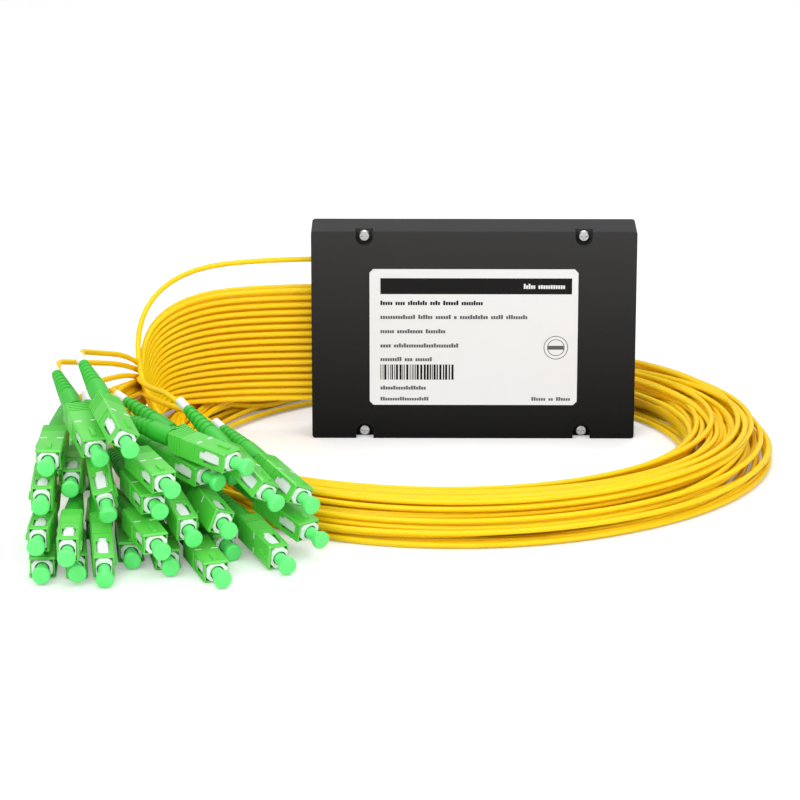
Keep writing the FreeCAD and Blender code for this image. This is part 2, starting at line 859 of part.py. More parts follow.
class Coil:
    """The oval ring of cable: four tangent arcs with a domed section."""

    def __init__(self):
        self.middle = Vector(size("coil_middle_x"), size("coil_middle_y"), 0)
        a, b = size("coil_half_length"), size("coil_half_width")
        root = math.sqrt(2)
        self.end_radius = (a + b - root * a) / (2 - root)
        self.side_radius = a + b - self.end_radius
        self.shift = a - self.end_radius
        self.half_width = size("bundle_half_width")
        self.height = size("bundle_height")

    def centre(self, quarter):
        """Centre and radius of one of the four arcs: right, back, left, front."""
        angle = quarter * math.pi / 2
        out = Vector(math.cos(angle), math.sin(angle), 0)
        if quarter % 2 == 0:
            return self.middle + out * self.shift, self.end_radius
        return self.middle - out * self.shift, self.side_radius

    def quarter_of(self, point):
        """Which arc is nearest to a point."""
        a, b = size("coil_half_length"), size("coil_half_width")
        x, y = (point.x - self.middle.x) / a, (point.y - self.middle.y) / b
        if abs(x) > abs(y):
            return 0 if x > 0 else 2
        return 1 if y > 0 else 3

    def top(self, point):
        """Height of the coil's top above the floor at a point in plan."""
        centre, radius = self.centre(self.quarter_of(point))
        across = abs(math.hypot(point.x - centre.x, point.y - centre.y) - radius)
        if across >= self.half_width:
            return 0.0
        return self.height * math.sqrt(1 - (across / self.half_width) ** 2)

    def section(self):
        """The bundle's outline: flat on the floor, and domed."""
        dome = Part.Ellipse(Vector(), self.half_width, self.height)
        arch = Part.ArcOfEllipse(dome, 0, math.pi).toShape()
        foot = Part.makeLine(
            Vector(-self.half_width, 0, 0), Vector(self.half_width, 0, 0)
        )
        return Part.Face(Part.Wire([arch, foot]))

    def solid(self):
        """The ring as one solid."""
        pieces = []
        for quarter in range(4):
            centre, radius = self.centre(quarter)
            section = self.section()
            start = quarter * 90 - 45
            section.rotate(Vector(), X_AXIS, 90)
            section.translate(Vector(radius, 0, 0))
            section.rotate(Vector(), Z_AXIS, start)
            section.translate(centre)
            pieces.append(section.revolve(centre, Z_AXIS, 90))
        ring = pieces[0].multiFuse(pieces[1:]).removeSplitter()
        return ring.Solids[0]

    def strap(self):
        """The woven strap round the bundle, at the front left."""
        wide, high = size("strap_half_width"), size("strap_half_height")
        thick = size("strap_thickness")
        sections = [
            Part.Face(Part.Wire(Part.Ellipse(Vector(), wide + t, high + t).toShape()))
            for t in (thick, 0)
        ]
        outer, inner = (
            section.extrude(Vector(0, 0, size("strap_width"))) for section in sections
        )
        band = outer.cut(inner)
        band.translate(Vector(0, 0, -size("strap_width") / 2))
        band.rotate(Vector(), X_AXIS, 90)
        centre, radius = self.centre(2)
        angle = 222
        band.rotate(Vector(), Z_AXIS, angle)
        out = Vector(math.cos(math.radians(angle)), math.sin(math.radians(angle)), 0)
        band.translate(centre + out * radius + Z_AXIS * (high + thick))
        return band.Solids[0]


def make_coil(coil):
    """The coil and its strap."""
    keep(shaped("cable_ring", coil.solid()), "cable_coil")
    keep(shaped("strap", coil.strap()), "bundle_strap")


# ------------------------------------------------------------------ the plugs
# Each piece of a plug is made once, with the plug pointing along +X and the
# middle of its sleeve's front face at the origin.

SLEEVE_REAR = "(-Sizes.sleeve_length)"
INNER_WIDTH = "(Sizes.sleeve_width - 2 * Sizes.sleeve_wall)"
INNER_HEIGHT = "(Sizes.sleeve_height - 2 * Sizes.sleeve_wall)"
FRAME_REAR = "(Sizes.frame_proud - Sizes.frame_length)"
WEB_FRONT = "(Sizes.frame_proud - Sizes.socket_depth)"
WEB_REAR = f"({WEB_FRONT} - Sizes.frame_web)"
FLANGE_REAR = f"({WEB_REAR} - Sizes.flange_length)"
SPRING_FRONT = f"({FLANGE_REAR} - Sizes.spring_seat)"
SPRING_REAR = f"({SPRING_FRONT} - Sizes.spring_length)"
BODY_FRONT = f"({SPRING_REAR} - Sizes.spring_seat)"
BODY_REAR = f"({FRAME_REAR} - Sizes.body_flange_length - Sizes.barrel_length)"
CRIMP_FRONT = f"({FRAME_REAR} - Sizes.body_flange_length - Sizes.crimp_clearance)"
CRIMP_REAR = f"({CRIMP_FRONT} - Sizes.crimp_length)"
CRIMP_RADIUS = "(Sizes.barrel_radius + Sizes.crimp_clearance + Sizes.crimp_wall)"
BOOT_FRONT = f"({SLEEVE_REAR} + Sizes.boot_inside)"
BOOT_BASE = f"({SLEEVE_REAR} - Sizes.boot_gap)"
BOOT_TAPER = f"({BOOT_BASE} - Sizes.boot_base_length)"
BOOT_REAR = f"({BOOT_TAPER} - Sizes.boot_taper_length)"
CAP_TIP = "(Sizes.frame_proud + Sizes.cap_proud)"
PLUG_REACH = 60.0
TIP_EASE = 0.35


def placed_at(body, x):
    """Move a turned body along X by an expression."""
    bind(body, {"Placement.Base.x": x})
    return body


def make_sleeve():
    """The coupling sleeve: windows at both sides, key on top, grip at the rear."""
    outside = block(
        "sleeve_outside", "Sizes.sleeve_length", "Sizes.sleeve_width",
        "Sizes.sleeve_height", SLEEVE_REAR, "-Sizes.sleeve_width / 2",
        "-Sizes.sleeve_height / 2",
    )
    doc.recompute()
    rim = doc.addObject("Part::Chamfer", "sleeve_rim")
    rim.Base = outside
    rim.Edges = [
        (number, size("sleeve_chamfer"), size("sleeve_chamfer"))
        for number, edge in enumerate(outside.Shape.Edges, start=1)
        if edge.Vertexes[0].Point.x == edge.Vertexes[1].Point.x
        or abs(edge.Vertexes[0].Point.x) + abs(edge.Vertexes[1].Point.x) > 0
    ]
    key = block(
        "sleeve_key", "Sizes.key_length", "Sizes.key_width",
        "Sizes.key_height + Sizes.sleeve_wall / 2",
        "-Sizes.key_front - Sizes.key_length", "-Sizes.key_width / 2",
        "Sizes.sleeve_height / 2 - Sizes.sleeve_wall / 2",
    )
    tools = [
        block(
            "sleeve_inside", "Sizes.sleeve_length + 2", INNER_WIDTH, INNER_HEIGHT,
            f"{SLEEVE_REAR} - 1", f"-{INNER_WIDTH} / 2", f"-{INNER_HEIGHT} / 2",
        )
    ]
    window = "-Sizes.window_front - Sizes.window_length"
    openings = (
        ("window", "Sizes.window_length", "Sizes.window_height", window),
        ("step", "Sizes.window_step_length + 0.1", "Sizes.window_step_height",
         f"{window} - Sizes.window_step_length"),
        ("lip", "Sizes.window_lip_length + 0.1", "Sizes.window_lip_height",
         "-Sizes.window_front - 0.1"),
    )
    for name, length, height, x in openings:
        tools.append(
            block(
                "sleeve_" + name, length, "Sizes.sleeve_width + 2", height, x,
                "-Sizes.sleeve_width / 2 - 1", f"-{height} / 2",
            )
        )
    recess = "(Sizes.sleeve_height - 2 * Sizes.rail_width)"
    for number, y in enumerate(
        (
            "-Sizes.sleeve_width / 2 - 1",
            "Sizes.sleeve_width / 2 - Sizes.rail_recess",
        )
    ):
        tools.append(
            block(
                f"sleeve_recess{number}", "Sizes.rail_length + 1",
                "1 + Sizes.rail_recess", recess, "-Sizes.rail_length", y,
                f"-{recess} / 2",
            )
        )
    for number in range(GRIP_GROOVES):
        x = f"{SLEEVE_REAR} + Sizes.grip_start + {number} * Sizes.grip_pitch"
        band = block(
            f"grip_band{number}", "Sizes.grip_width", "Sizes.sleeve_width + 2",
            "Sizes.sleeve_height + 2", x, "-Sizes.sleeve_width / 2 - 1",
            "-Sizes.sleeve_height / 2 - 1",
        )
        core = block(
            f"grip_core{number}", "Sizes.grip_width",
            "Sizes.sleeve_width - 2 * Sizes.grip_depth",
            "Sizes.sleeve_height - 2 * Sizes.grip_depth", x,
            "-Sizes.sleeve_width / 2 + Sizes.grip_depth",
            "-Sizes.sleeve_height / 2 + Sizes.grip_depth",
        )
        tools.append(cut(f"grip_groove{number}", band, [core]))
    return cut("sleeve", fuse("sleeve_keyed", [rim, key]), tools)


def make_frame():
    """The plug frame: a rectangular bar with socket, web and spring chamber."""
    width = f"({INNER_WIDTH} - 2 * Sizes.frame_clearance)"
    height = f"({INNER_HEIGHT} - 2 * Sizes.frame_clearance)"
    bar = block(
        "frame_bar", "Sizes.frame_length", width, height, FRAME_REAR,
        f"-{width} / 2", f"-{height} / 2",
    )
    doc.recompute()
    rim = doc.addObject("Part::Chamfer", "frame_corners")
    rim.Base = bar
    rim.Edges = [
        (number, size("frame_chamfer"), size("frame_chamfer"))
        for number, edge in enumerate(bar.Shape.Edges, start=1)
        if edge.Vertexes[0].Point.x != edge.Vertexes[1].Point.x
    ]
    bores = [
        rod("frame_socket", ALONG_X, "Sizes.socket_radius", "Sizes.socket_depth + 1",
            WEB_FRONT, "0", "0"),
        rod("frame_hole", ALONG_X, "Sizes.ferrule_radius + Sizes.ferrule_clearance",
            "Sizes.frame_length", FRAME_REAR, "0", "0"),
        rod("frame_chamber", ALONG_X, "Sizes.chamber_radius",
            f"{WEB_REAR} - {FRAME_REAR} + 1", f"{FRAME_REAR} - 1", "0", "0"),
    ]
    return cut("frame", rim, bores)


def make_ferrule():
    """The ceramic ferrule with its flange behind the web."""
    bore = "0.1"
    body = turned(
        "ferrule",
        [("0", bore), ("0", "Sizes.flange_radius"),
         ("Sizes.flange_length", "Sizes.flange_radius"),
         ("Sizes.flange_length", "Sizes.ferrule_radius"),
         ("Sizes.ferrule_length - 0.3", "Sizes.ferrule_radius"),
         ("Sizes.ferrule_length", "Sizes.ferrule_radius - 0.3"),
         ("Sizes.ferrule_length", bore)],
    )
    return placed_at(body, FLANGE_REAR)


def make_spring():
    """The spring behind the ferrule's flange."""
    turns = size("spring_turns")
    wire, radius = size("spring_wire"), size("spring_radius")
    length = size("spring_length") - 2 * wire
    helix = Part.makeHelix(length / turns, length, radius)
    corners = [
        Vector(
            radius + wire * math.cos(side * math.pi / 3),
            0,
            wire * math.sin(side * math.pi / 3),
        )
        for side in range(6)
    ]
    section = Part.makePolygon(corners + corners[:1])
    coil = Part.Wire(helix.Edges).makePipeShell([section], True, True)
    coil.rotate(Vector(), Y_AXIS, 90)
    coil.translate(Vector(value_of(SPRING_REAR) + wire, 0, 0))
    return shaped("spring", coil)


def make_rear_body():
    """The metal body that closes the spring chamber and takes the crimp."""
    body = turned(
        "rear_body",
        [("0", "Sizes.body_bore"), ("0", "Sizes.barrel_radius"),
         ("Sizes.barrel_length", "Sizes.barrel_radius"),
         ("Sizes.barrel_length", "Sizes.boot_neck_radius"),
         (f"{FRAME_REAR} - {BODY_REAR}", "Sizes.boot_neck_radius"),
         (f"{FRAME_REAR} - {BODY_REAR}", "Sizes.chamber_radius - 0.05"),
         (f"{BODY_FRONT} - {BODY_REAR}", "Sizes.chamber_radius - 0.05"),
         (f"{BODY_FRONT} - {BODY_REAR}", "Sizes.body_bore")],
    )
    return placed_at(body, BODY_REAR)


def hollow(name, inner, outer, length):
    """A plain turned tube."""
    return turned(name, [("0", inner), ("0", outer), (length, outer), (length, inner)])


def make_crimp():
    """The crimp ring over the rear body's barrel."""
    inner = "Sizes.barrel_radius + Sizes.crimp_clearance"
    return placed_at(
        hollow("crimp", inner, CRIMP_RADIUS, "Sizes.crimp_length"), CRIMP_REAR
    )


def make_boot():
    """The tapered boot: a neck in the sleeve, a drum, and a ribbed tail."""
    length = f"({BOOT_FRONT} - {BOOT_REAR})"
    bore = "Sizes.jacket_radius + Sizes.boot_clearance"
    wide_bore = f"{CRIMP_RADIUS} + Sizes.boot_clearance"
    outline = [
        ("0", bore),
        ("0", "Sizes.boot_tail_radius - 0.3"),
        ("0.3", "Sizes.boot_tail_radius"),
    ]
    rise = "(Sizes.boot_base_radius - Sizes.boot_tail_radius)"
    # grooves sit in the middle of the taper, one to each of its equal stretches
    for number in range(BOOT_GROOVES):
        for share, depth in ((0.2, 0), (0.3, 1), (0.7, 1), (0.8, 0)):
            part = round((number + share + 0.5) / (BOOT_GROOVES + 1), 4)
            radius = f"Sizes.boot_tail_radius + {part} * {rise}"
            if depth:
                radius += " - Sizes.boot_groove_depth"
            outline.append((f"{part} * Sizes.boot_taper_length", radius))
    drum_end = "Sizes.boot_taper_length + Sizes.boot_base_length"
    outline += [
        ("Sizes.boot_taper_length", "Sizes.boot_base_radius"),
        (f"{drum_end} - 0.3", "Sizes.boot_base_radius"),
        (drum_end, "Sizes.boot_base_radius - 0.3"),
        (drum_end, "Sizes.boot_neck_radius"),
        (length, "Sizes.boot_neck_radius"),
        (length, wide_bore),
        (f"{BODY_REAR} - 0.5 - {BOOT_REAR}", wide_bore),
        (f"{BODY_REAR} - 0.5 - {BOOT_REAR}", bore),
    ]
    return placed_at(turned("boot", outline), BOOT_REAR)


def make_marker():
    """The white marker collar on the cable behind the boot."""
    inner = "Sizes.jacket_radius + Sizes.marker_clearance"
    outer = f"{inner} + Sizes.marker_wall"
    return placed_at(
        hollow("marker", inner, outer, "Sizes.marker_length"),
        f"{BOOT_REAR} - 0.3 - Sizes.marker_length",
    )


def make_cap():
    """The dust cap over the ferrule's tip."""
    length = "(Sizes.cap_depth + Sizes.cap_proud)"
    bore = "Sizes.ferrule_radius + Sizes.ferrule_clearance"
    head = f"{length} - Sizes.cap_head_length"
    outline = [
        ("0", bore),
        ("0", "Sizes.cap_neck_radius"),
        ("Sizes.cap_depth + 0.15", "Sizes.cap_neck_radius"),
        ("Sizes.cap_depth + 0.15", "Sizes.cap_collar_radius"),
        (head, "Sizes.cap_collar_radius"),
        (head, "Sizes.cap_head_radius - Sizes.cap_edge"),
        (f"{head} + 0.3 * Sizes.cap_edge", "Sizes.cap_head_radius - 0.3 * Sizes.cap_edge"),
        (f"{head} + Sizes.cap_edge", "Sizes.cap_head_radius"),
        (f"{length} - Sizes.cap_edge", "Sizes.cap_head_radius"),
        (f"{length} - 0.3 * Sizes.cap_edge", "Sizes.cap_head_radius - 0.3 * Sizes.cap_edge"),
        (length, "Sizes.cap_head_radius - Sizes.cap_edge"),
        (length, "0"),
        (f"{length} - Sizes.cap_wall", "0"),
        (f"{length} - Sizes.cap_wall", bore),
    ]
    return placed_at(turned("cap", outline), "Sizes.frame_proud - Sizes.cap_depth")


# --------------------------------------------------------- the heap of plugs


class Envelope(NamedTuple):
    """A turned box round one stretch of a plug, some way behind its tip."""

    behind: float
    centre: Vector
    half: tuple

    def radius(self):
        """Half of its diagonal."""
        return math.sqrt(sum(h * h for h in self.half))


class Contact(NamedTuple):
    """How deep two plugs are in each other, and where along each of them."""

    depth: float
    direction: Vector
    mine: float
    theirs: float


class Lying:
    """A plug in the heap: the tip of its cap, the way it points, its roll."""

    def __init__(self, plug):
        bearing, pitch, self.roll = map(
            math.radians, (plug.bearing, plug.pitch, plug.roll)
        )
        self.tip = Vector(plug.x, plug.y, plug.z)
        self.forward = Vector(
            math.sin(bearing) * math.cos(pitch),
            -math.cos(bearing) * math.cos(pitch),
            -math.sin(pitch),
        )
        self.aim = (Vector(self.tip), Vector(self.forward))
        self.find()

    def find(self):
        """Work out its three directions and its boxes again."""
        side = Z_AXIS.cross(self.forward).normalize()
        over = self.forward.cross(side)
        cosine, sine = math.cos(self.roll), math.sin(self.roll)
        self.axes = (
            self.forward,
            side * cosine + over * sine,
            over * cosine - side * sine,
        )
        self.boxes = [
            Envelope(
                (front + back) / 2,
                self.tip - self.forward * ((front + back) / 2) + self.axes[2] * ridge,
                ((back - front) / 2, wide, high),
            )
            for front, back, wide, high, ridge in STRETCHES
        ]

    def pull(self):
        """Draw it back to where it was put, and down a little."""
        tip, forward = self.aim
        self.tip = self.tip + (tip - self.tip) * 0.06 - Z_AXIS * 0.05
        self.forward = (self.forward * 0.95 + forward * 0.05).normalize()
        self.find()

    def push(self, behind, move):
        """Move the stretch so far behind the tip; the two ends share it."""
        share = max(0.0, min(1.0, behind / PLUG_REACH))
        tip_part, tail_part = (1 - share) * TIP_EASE, share
        total = (1 - share) * tip_part + share * tail_part
        tail = self.tip - self.forward * PLUG_REACH + move * (tail_part / total)
        self.tip = self.tip + move * (tip_part / total)
        self.forward = (self.tip - tail).normalize()
        self.find()

    def contact(self, other):
        """The deepest contact with another plug, or None."""
        pairs = [
            (mine, theirs)
            for mine in self.boxes
            for theirs in other.boxes
            if (theirs.centre - mine.centre).Length < mine.radius() + theirs.radius()
        ]
        if not pairs:
            return None
        directions = list(self.axes) + list(other.axes)
        for mine in self.axes:
            for theirs in other.axes:
                across = mine.cross(theirs)
                if across.Length > 1e-6:
                    directions.append(across.normalize())
        spreads = [
            (d, [abs(d.dot(a)) for a in self.axes], [abs(d.dot(a)) for a in other.axes])
            for d in directions
        ]
        deepest = None
        for mine, theirs in pairs:
            least = None
            apart = theirs.centre - mine.centre
            for direction, near, far in spreads:
                gap = apart.dot(direction)
                depth = (
                    sum(h * n for h, n in zip(mine.half, near))
                    + sum(h * f for h, f in zip(theirs.half, far))
                    - abs(gap)
                )
                if depth <= 0:
                    least = None
                    break
                if least is None or depth < least[0]:
                    least = (depth, direction if gap >= 0 else direction * -1)
            if least and (deepest is None or least[0] > deepest[0]):
                deepest = (*least, mine, theirs)
        if deepest is None:
            return None
        depth, direction, mine, theirs = deepest
        return Contact(depth, direction, *self.nearest(mine, other, theirs))

    def nearest(self, mine, other, theirs):
        """How far behind each tip the two boxes' middle lines are nearest."""
        apart = mine.centre - theirs.centre
        turn = self.forward.dot(other.forward)
        ahead, ahead_of_other = self.forward.dot(apart), other.forward.dot(apart)
        square = 1 - turn * turn
        along = (turn * ahead_of_other - ahead) / square if square > 1e-6 else 0.0
        along = max(-mine.half[0], min(mine.half[0], along))
        across = turn * along + ahead_of_other
        across = max(-theirs.half[0], min(theirs.half[0], across))
        along = max(-mine.half[0], min(mine.half[0], turn * across - ahead))
        return mine.behind - along, theirs.behind - across

    def lift(self, coil):
        """Raise each stretch that is in the floor or the coil. Returns how far."""
        most, gap = 0.0, size("pile_gap") / 2
        for number in range(len(self.boxes)):
            box = self.boxes[number]
            long, wide, high = box.half
            lack, behind = 0.0, box.behind
            for share in (-1, -0.33, 0.33, 1):
                along = (long - gap) * share
                middle = box.centre + self.axes[0] * along
                for side in (-1, 1):
                    for up in (-1, 1):
                        point = (
                            middle
                            + self.axes[1] * (side * (wide - gap))
                            + self.axes[2] * (up * (high - gap))
                        )
                        short = coil.top(point) - point.z
                        if short > lack:
                            lack, behind = short, box.behind - along
            if lack > 0:
                most = max(most, lack)
                self.push(behind, Z_AXIS * lack)
        return most

    def tidy(self):
        """Round its place, so that every machine finds the same heap."""
        self.tip = Vector(*(round(v, 5) for v in self.tip))
        self.forward = Vector(*(round(v, 6) for v in self.forward)).normalize()
        self.find()


def stretches():
    """Front, back, half width, half height and ridge of each stretch of a plug."""
    proud = value_of(CAP_TIP)
    sleeve_rear = proud + size("sleeve_length") + size("sleeve_travel")
    drum_rear = proud - value_of(BOOT_TAPER)
    waist_rear = drum_rear + size("boot_waist_length")
    rear = proud - value_of(BOOT_REAR) + size("marker_length")
    width, height = size("sleeve_width") / 2, size("sleeve_height") / 2
    rib = size("key_height") / 2
    cap, drum = size("cap_head_radius"), size("boot_base_radius")
    waist, tail = size("boot_waist_radius"), size("boot_tail_radius")
    gap = size("pile_gap") / 2
    return [
        (front - gap, back + gap, wide + gap, high + ridge + gap, ridge)
        for front, back, wide, high, ridge in (
            (proud, sleeve_rear, width, height, rib),
            (0.0, proud, cap, cap, 0.0),
            (sleeve_rear, drum_rear, drum, drum, 0.0),
            (drum_rear, waist_rear, waist, waist, 0.0),
            (waist_rear, rear, tail, tail, 0.0),
        )
    ]


STRETCHES = stretches()


def settle(coil):
    """Let the heap settle. Returns the tip and the three axes of each plug."""
    heap = [Lying(plug) for plug in HEAP]
    for step in range(SETTLING_STEPS):
        if step < PULLED_STEPS:
            for plug in heap:
                plug.pull()
        deepest = 0.0
        for number, plug in enumerate(heap):
            for other in heap[number + 1:]:
                if (plug.boxes[2].centre - other.boxes[2].centre).Length > 66:
                    continue
                contact = plug.contact(other)
                if contact:
                    deepest = max(deepest, contact.depth)
                    move = contact.direction * (contact.depth * 0.45)
                    plug.push(contact.mine, move * -1)
                    other.push(contact.theirs, move)
        sunk = max(plug.lift(coil) for plug in heap)
        for plug in heap:
            plug.tidy()
    print("heap settled within", round(deepest, 2), round(sunk, 2))
    if max(deepest, sunk) > 0.9 * size("pile_gap"):
        raise RuntimeError("the heap hasn't settled")
    return [(plug.tip, plug.axes) for plug in heap]


def placement_of(tip, axes):
    """Placement of a plug's pieces, from where the tip of its cap lies."""
    forward, side, key = axes
    base = tip - forward * value_of(CAP_TIP)
    return Placement(base, Rotation(forward, side, key, "XYZ"))


def tail_route(tip, axes, coil):
    """How a plug's cable goes from inside its boot back onto the coil's left."""
    forward = axes[0]
    start = tip - forward * value_of(f"{CAP_TIP} - ({BODY_REAR} - 0.3)")
    clear = tip - forward * value_of(
        f"{CAP_TIP} - {BOOT_REAR} + Sizes.marker_length + 4"
    )
    if clear.y > -60:
        aside = 0.3 * (-142 - clear.x)
        return [
            start,
            clear,
            Vector(clear.x * 0.75 - 31.5, 0, max(clear.z, 6) + 1),
            Vector(-124, 25 + aside, 10),
            Vector(-98, 32 + aside, 8),
        ]
    gather = Vector(-124, -34, max(20, 10 + 0.5 * clear.z))
    half_way = clear * 0.5 + gather * 0.5
    half_way.x -= 2
    half_way.z = max(clear.z, 11) * 0.4 + gather.z * 0.6
    if clear.x < -134:
        half_way = clear * 0.66 + gather * 0.34
        half_way.x -= 2
        half_way.z = max(half_way.z, 19.5)
    return [
        start,
        clear,
        half_way,
        gather,
        Vector(-116, -6, 18),
        Vector(-98, 22, 8),
    ]


def make_plugs(coil):
    """Every plug: a coupling sleeve of its own, and the rest by kind."""
    sleeve = make_sleeve()
    kinds = {
        "plug_frames": make_frame(),
        "ferrules": make_ferrule(),
        "ferrule_springs": make_spring(),
        "rear_bodies": make_rear_body(),
        "crimp_rings": make_crimp(),
        "boots": make_boot(),
        "marker_collars": make_marker(),
        "dust_caps": make_cap(),
    }
    doc.recompute()
    heap = settle(coil)
    places = [placement_of(tip, axes) for tip, axes in heap]
    for number, place in enumerate(places, start=1):
        name = f"coupling_sleeve_{number:02d}"
        keep(shaped(name + "_copy", sleeve.Shape.Solids[0].copy(), place), name)
    for label, master in kinds.items():
        copies = []
        for place in places:
            shape = master.Shape.Solids[0].copy()
            shape.Placement = place.multiply(shape.Placement)
            copies.append(shape)
        keep(shaped(label + "_copies", Part.makeCompound(copies)), label)
    tails = [
        tube(tail_route(tip, axes, coil), size("jacket_radius")) for tip, axes in heap
    ]
    keep(shaped("tails", Part.makeCompound([s for s, _ in tails])), "cable_tails")
    print("smallest tail radius", round(min(bend for _, bend in tails), 1))
    for number, (tip, axes) in enumerate(heap, start=1):
        print(f"PLUG {number:02d}", *(f"{v:.15g}" for v in (*tip, *axes[0])))


def check_and_write():
    """Stop on any failed object or bad shape, then write each sub-part."""
    doc.recompute()
    for thing in doc.Objects:
        if {"Invalid", "Error"} & set(thing.State):
            raise RuntimeError(f"{thing.Name} failed: {thing.State}")
    for part in parts:
        shape = part.Shape
        if shape.isNull() or not shape.isValid() or not shape.Solids:
            raise RuntimeError(f"{part.Label} has no valid shape")
    os.makedirs("parts", exist_ok=True)
    for part in parts:
        part.Shape.exportStep(f"parts/{part.Label}.step")
    print(len(parts), "sub-parts written")


make_base_tray()
make_cover()
make_screws(
    "cover_screws",
    [(screw_x(s), f"{FRONT} + Sizes.notch_depth", screw_z(u)) for s, u in SCREWS],
    "Sizes.screw_head_radius", "Sizes.screw_head_height", "Sizes.screw_shank_radius",
    "Sizes.screw_length", "Sizes.drive_depth",
)
make_label()
make_clamp()
make_screws(
    "clamp_screws",
    [(CLAMP_MIDDLE, f"-{CLAMP_BACK}", z) for z in CLAMP_SCREWS],
    "Sizes.clamp_screw_head", "Sizes.clamp_screw_head_height",
    "Sizes.clamp_screw_radius",
    f"Sizes.clamp_thickness + {FLOOR_OF_TRAY} - {CLAMP_BACK}", "Sizes.drive_depth / 2",
)
make_splitter()
make_inner_fibres()
make_ribbons()
ring_of_cable = Coil()
make_coil(ring_of_cable)
make_cables()
make_plugs(ring_of_cable)
check_and_write()
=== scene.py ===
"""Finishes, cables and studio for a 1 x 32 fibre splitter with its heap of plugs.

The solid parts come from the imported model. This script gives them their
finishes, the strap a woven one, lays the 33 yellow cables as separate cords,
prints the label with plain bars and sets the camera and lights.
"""

from __future__ import annotations

import json
import logging
import math
import random
from dataclasses import dataclass, field
from enum import Enum

import bpy
import numpy as np
from mathutils import Matrix, Vector


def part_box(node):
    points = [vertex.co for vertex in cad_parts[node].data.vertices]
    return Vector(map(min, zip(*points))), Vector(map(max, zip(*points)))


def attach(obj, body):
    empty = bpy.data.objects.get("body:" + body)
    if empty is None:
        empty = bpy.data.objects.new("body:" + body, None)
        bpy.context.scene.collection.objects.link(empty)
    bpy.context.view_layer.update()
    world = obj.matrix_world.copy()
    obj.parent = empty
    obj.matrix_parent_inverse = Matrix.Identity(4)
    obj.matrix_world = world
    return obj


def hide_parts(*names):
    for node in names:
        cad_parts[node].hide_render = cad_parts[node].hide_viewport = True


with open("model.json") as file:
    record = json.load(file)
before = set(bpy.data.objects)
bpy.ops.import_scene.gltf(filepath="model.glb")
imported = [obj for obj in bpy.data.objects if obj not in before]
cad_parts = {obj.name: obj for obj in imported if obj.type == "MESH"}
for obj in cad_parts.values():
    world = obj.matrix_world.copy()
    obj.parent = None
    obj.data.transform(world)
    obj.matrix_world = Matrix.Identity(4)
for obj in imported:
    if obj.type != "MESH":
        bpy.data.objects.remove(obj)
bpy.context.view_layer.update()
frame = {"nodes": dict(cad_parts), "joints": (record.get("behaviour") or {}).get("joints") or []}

MM = 0.001
BOX_BODY = "splitter"
OUTPUTS = 32
PLUGS = OUTPUTS + 1

log = logging.getLogger("splitter")


def mm(x: float, y: float, z: float) -> Vector:
    """A point given in millimetres, as a vector in metres."""
    return Vector((x, y, z)) * MM


# ------------------------------------------------------------------ finishes


BROAD_DETAIL = 3.0
FINE_DETAIL = 2.0
NOISE_MEAN = 0.5
# A painted-shade ramp of (1, 1) paints no shade: the colour is the same at every height.
NO_PAINTED_SHADE = (1.0, 1.0)
SOFT_REACH = (1.0, 0.6, 0.3)
WAVES_PER_SCALE = 0.3


def new_group(
    name: str, takes: dict[str, float], gives: tuple[str, ...]
) -> bpy.types.NodeTree:
    """Start a shader node group whose sockets are all plain numbers.

    Args:
        name: the group's name.
        takes: each input's default.
        gives: the outputs' names.

    Returns:
        The group's tree, with its Group Input and Group Output nodes.
    """
    tree = bpy.data.node_groups.new(name, "ShaderNodeTree")
    kind = "NodeSocketFloat"
    for label, start in takes.items():
        made = tree.interface.new_socket(label, in_out="INPUT", socket_type=kind)
        made.default_value = start
    for label in gives:
        tree.interface.new_socket(label, in_out="OUTPUT", socket_type=kind)
    tree.nodes.new("NodeGroupInput")
    tree.nodes.new("NodeGroupOutput")
    return tree


def moulded_grain() -> bpy.types.NodeTree:
    """Build the group that gives moulded plastic its slight unevenness.

    Returns:
        A group with a Shade factor round 1, a Polish factor round 1 and a
        Height for a Bump node.
    """
    tree = new_group(
        "moulded_grain",
        {"Coarse": 60.0, "Fine": 1500.0, "Uneven": 0.1},
        ("Shade", "Polish", "Height"),
    )
    nodes, links = tree.nodes, tree.links
    entry, leave = nodes["Group Input"], nodes["Group Output"]
    place = nodes.new("ShaderNodeTexCoord")
    broad = nodes.new("ShaderNodeTexNoise")
    broad.inputs["Detail"].default_value = BROAD_DETAIL
    fine = nodes.new("ShaderNodeTexNoise")
    fine.inputs["Detail"].default_value = FINE_DETAIL
    links.new(place.outputs["Object"], broad.inputs["Vector"])
    links.new(place.outputs["Object"], fine.inputs["Vector"])
    links.new(entry.outputs["Coarse"], broad.inputs["Scale"])
    links.new(entry.outputs["Fine"], fine.inputs["Scale"])
    centred = nodes.new("ShaderNodeMath")
    centred.operation = "SUBTRACT"
    centred.inputs[1].default_value = NOISE_MEAN
    links.new(broad.outputs["Fac"], centred.inputs[0])
    for label, lift in (("Shade", 1.0), ("Polish", 2.0)):
        spread = nodes.new("ShaderNodeMath")
        spread.operation = "MULTIPLY"
        spread.inputs[1].default_value = lift
        swing = nodes.new("ShaderNodeMath")
        swing.operation = "MULTIPLY_ADD"
        swing.inputs[2].default_value = 1.0
        links.new(entry.outputs["Uneven"], spread.inputs[0])
        links.new(centred.outputs[0], swing.inputs[0])
        links.new(spread.outputs[0], swing.inputs[1])
        links.new(swing.outputs[0], leave.inputs[label])
    links.new(fine.outputs["Fac"], leave.inputs["Height"])
    return tree


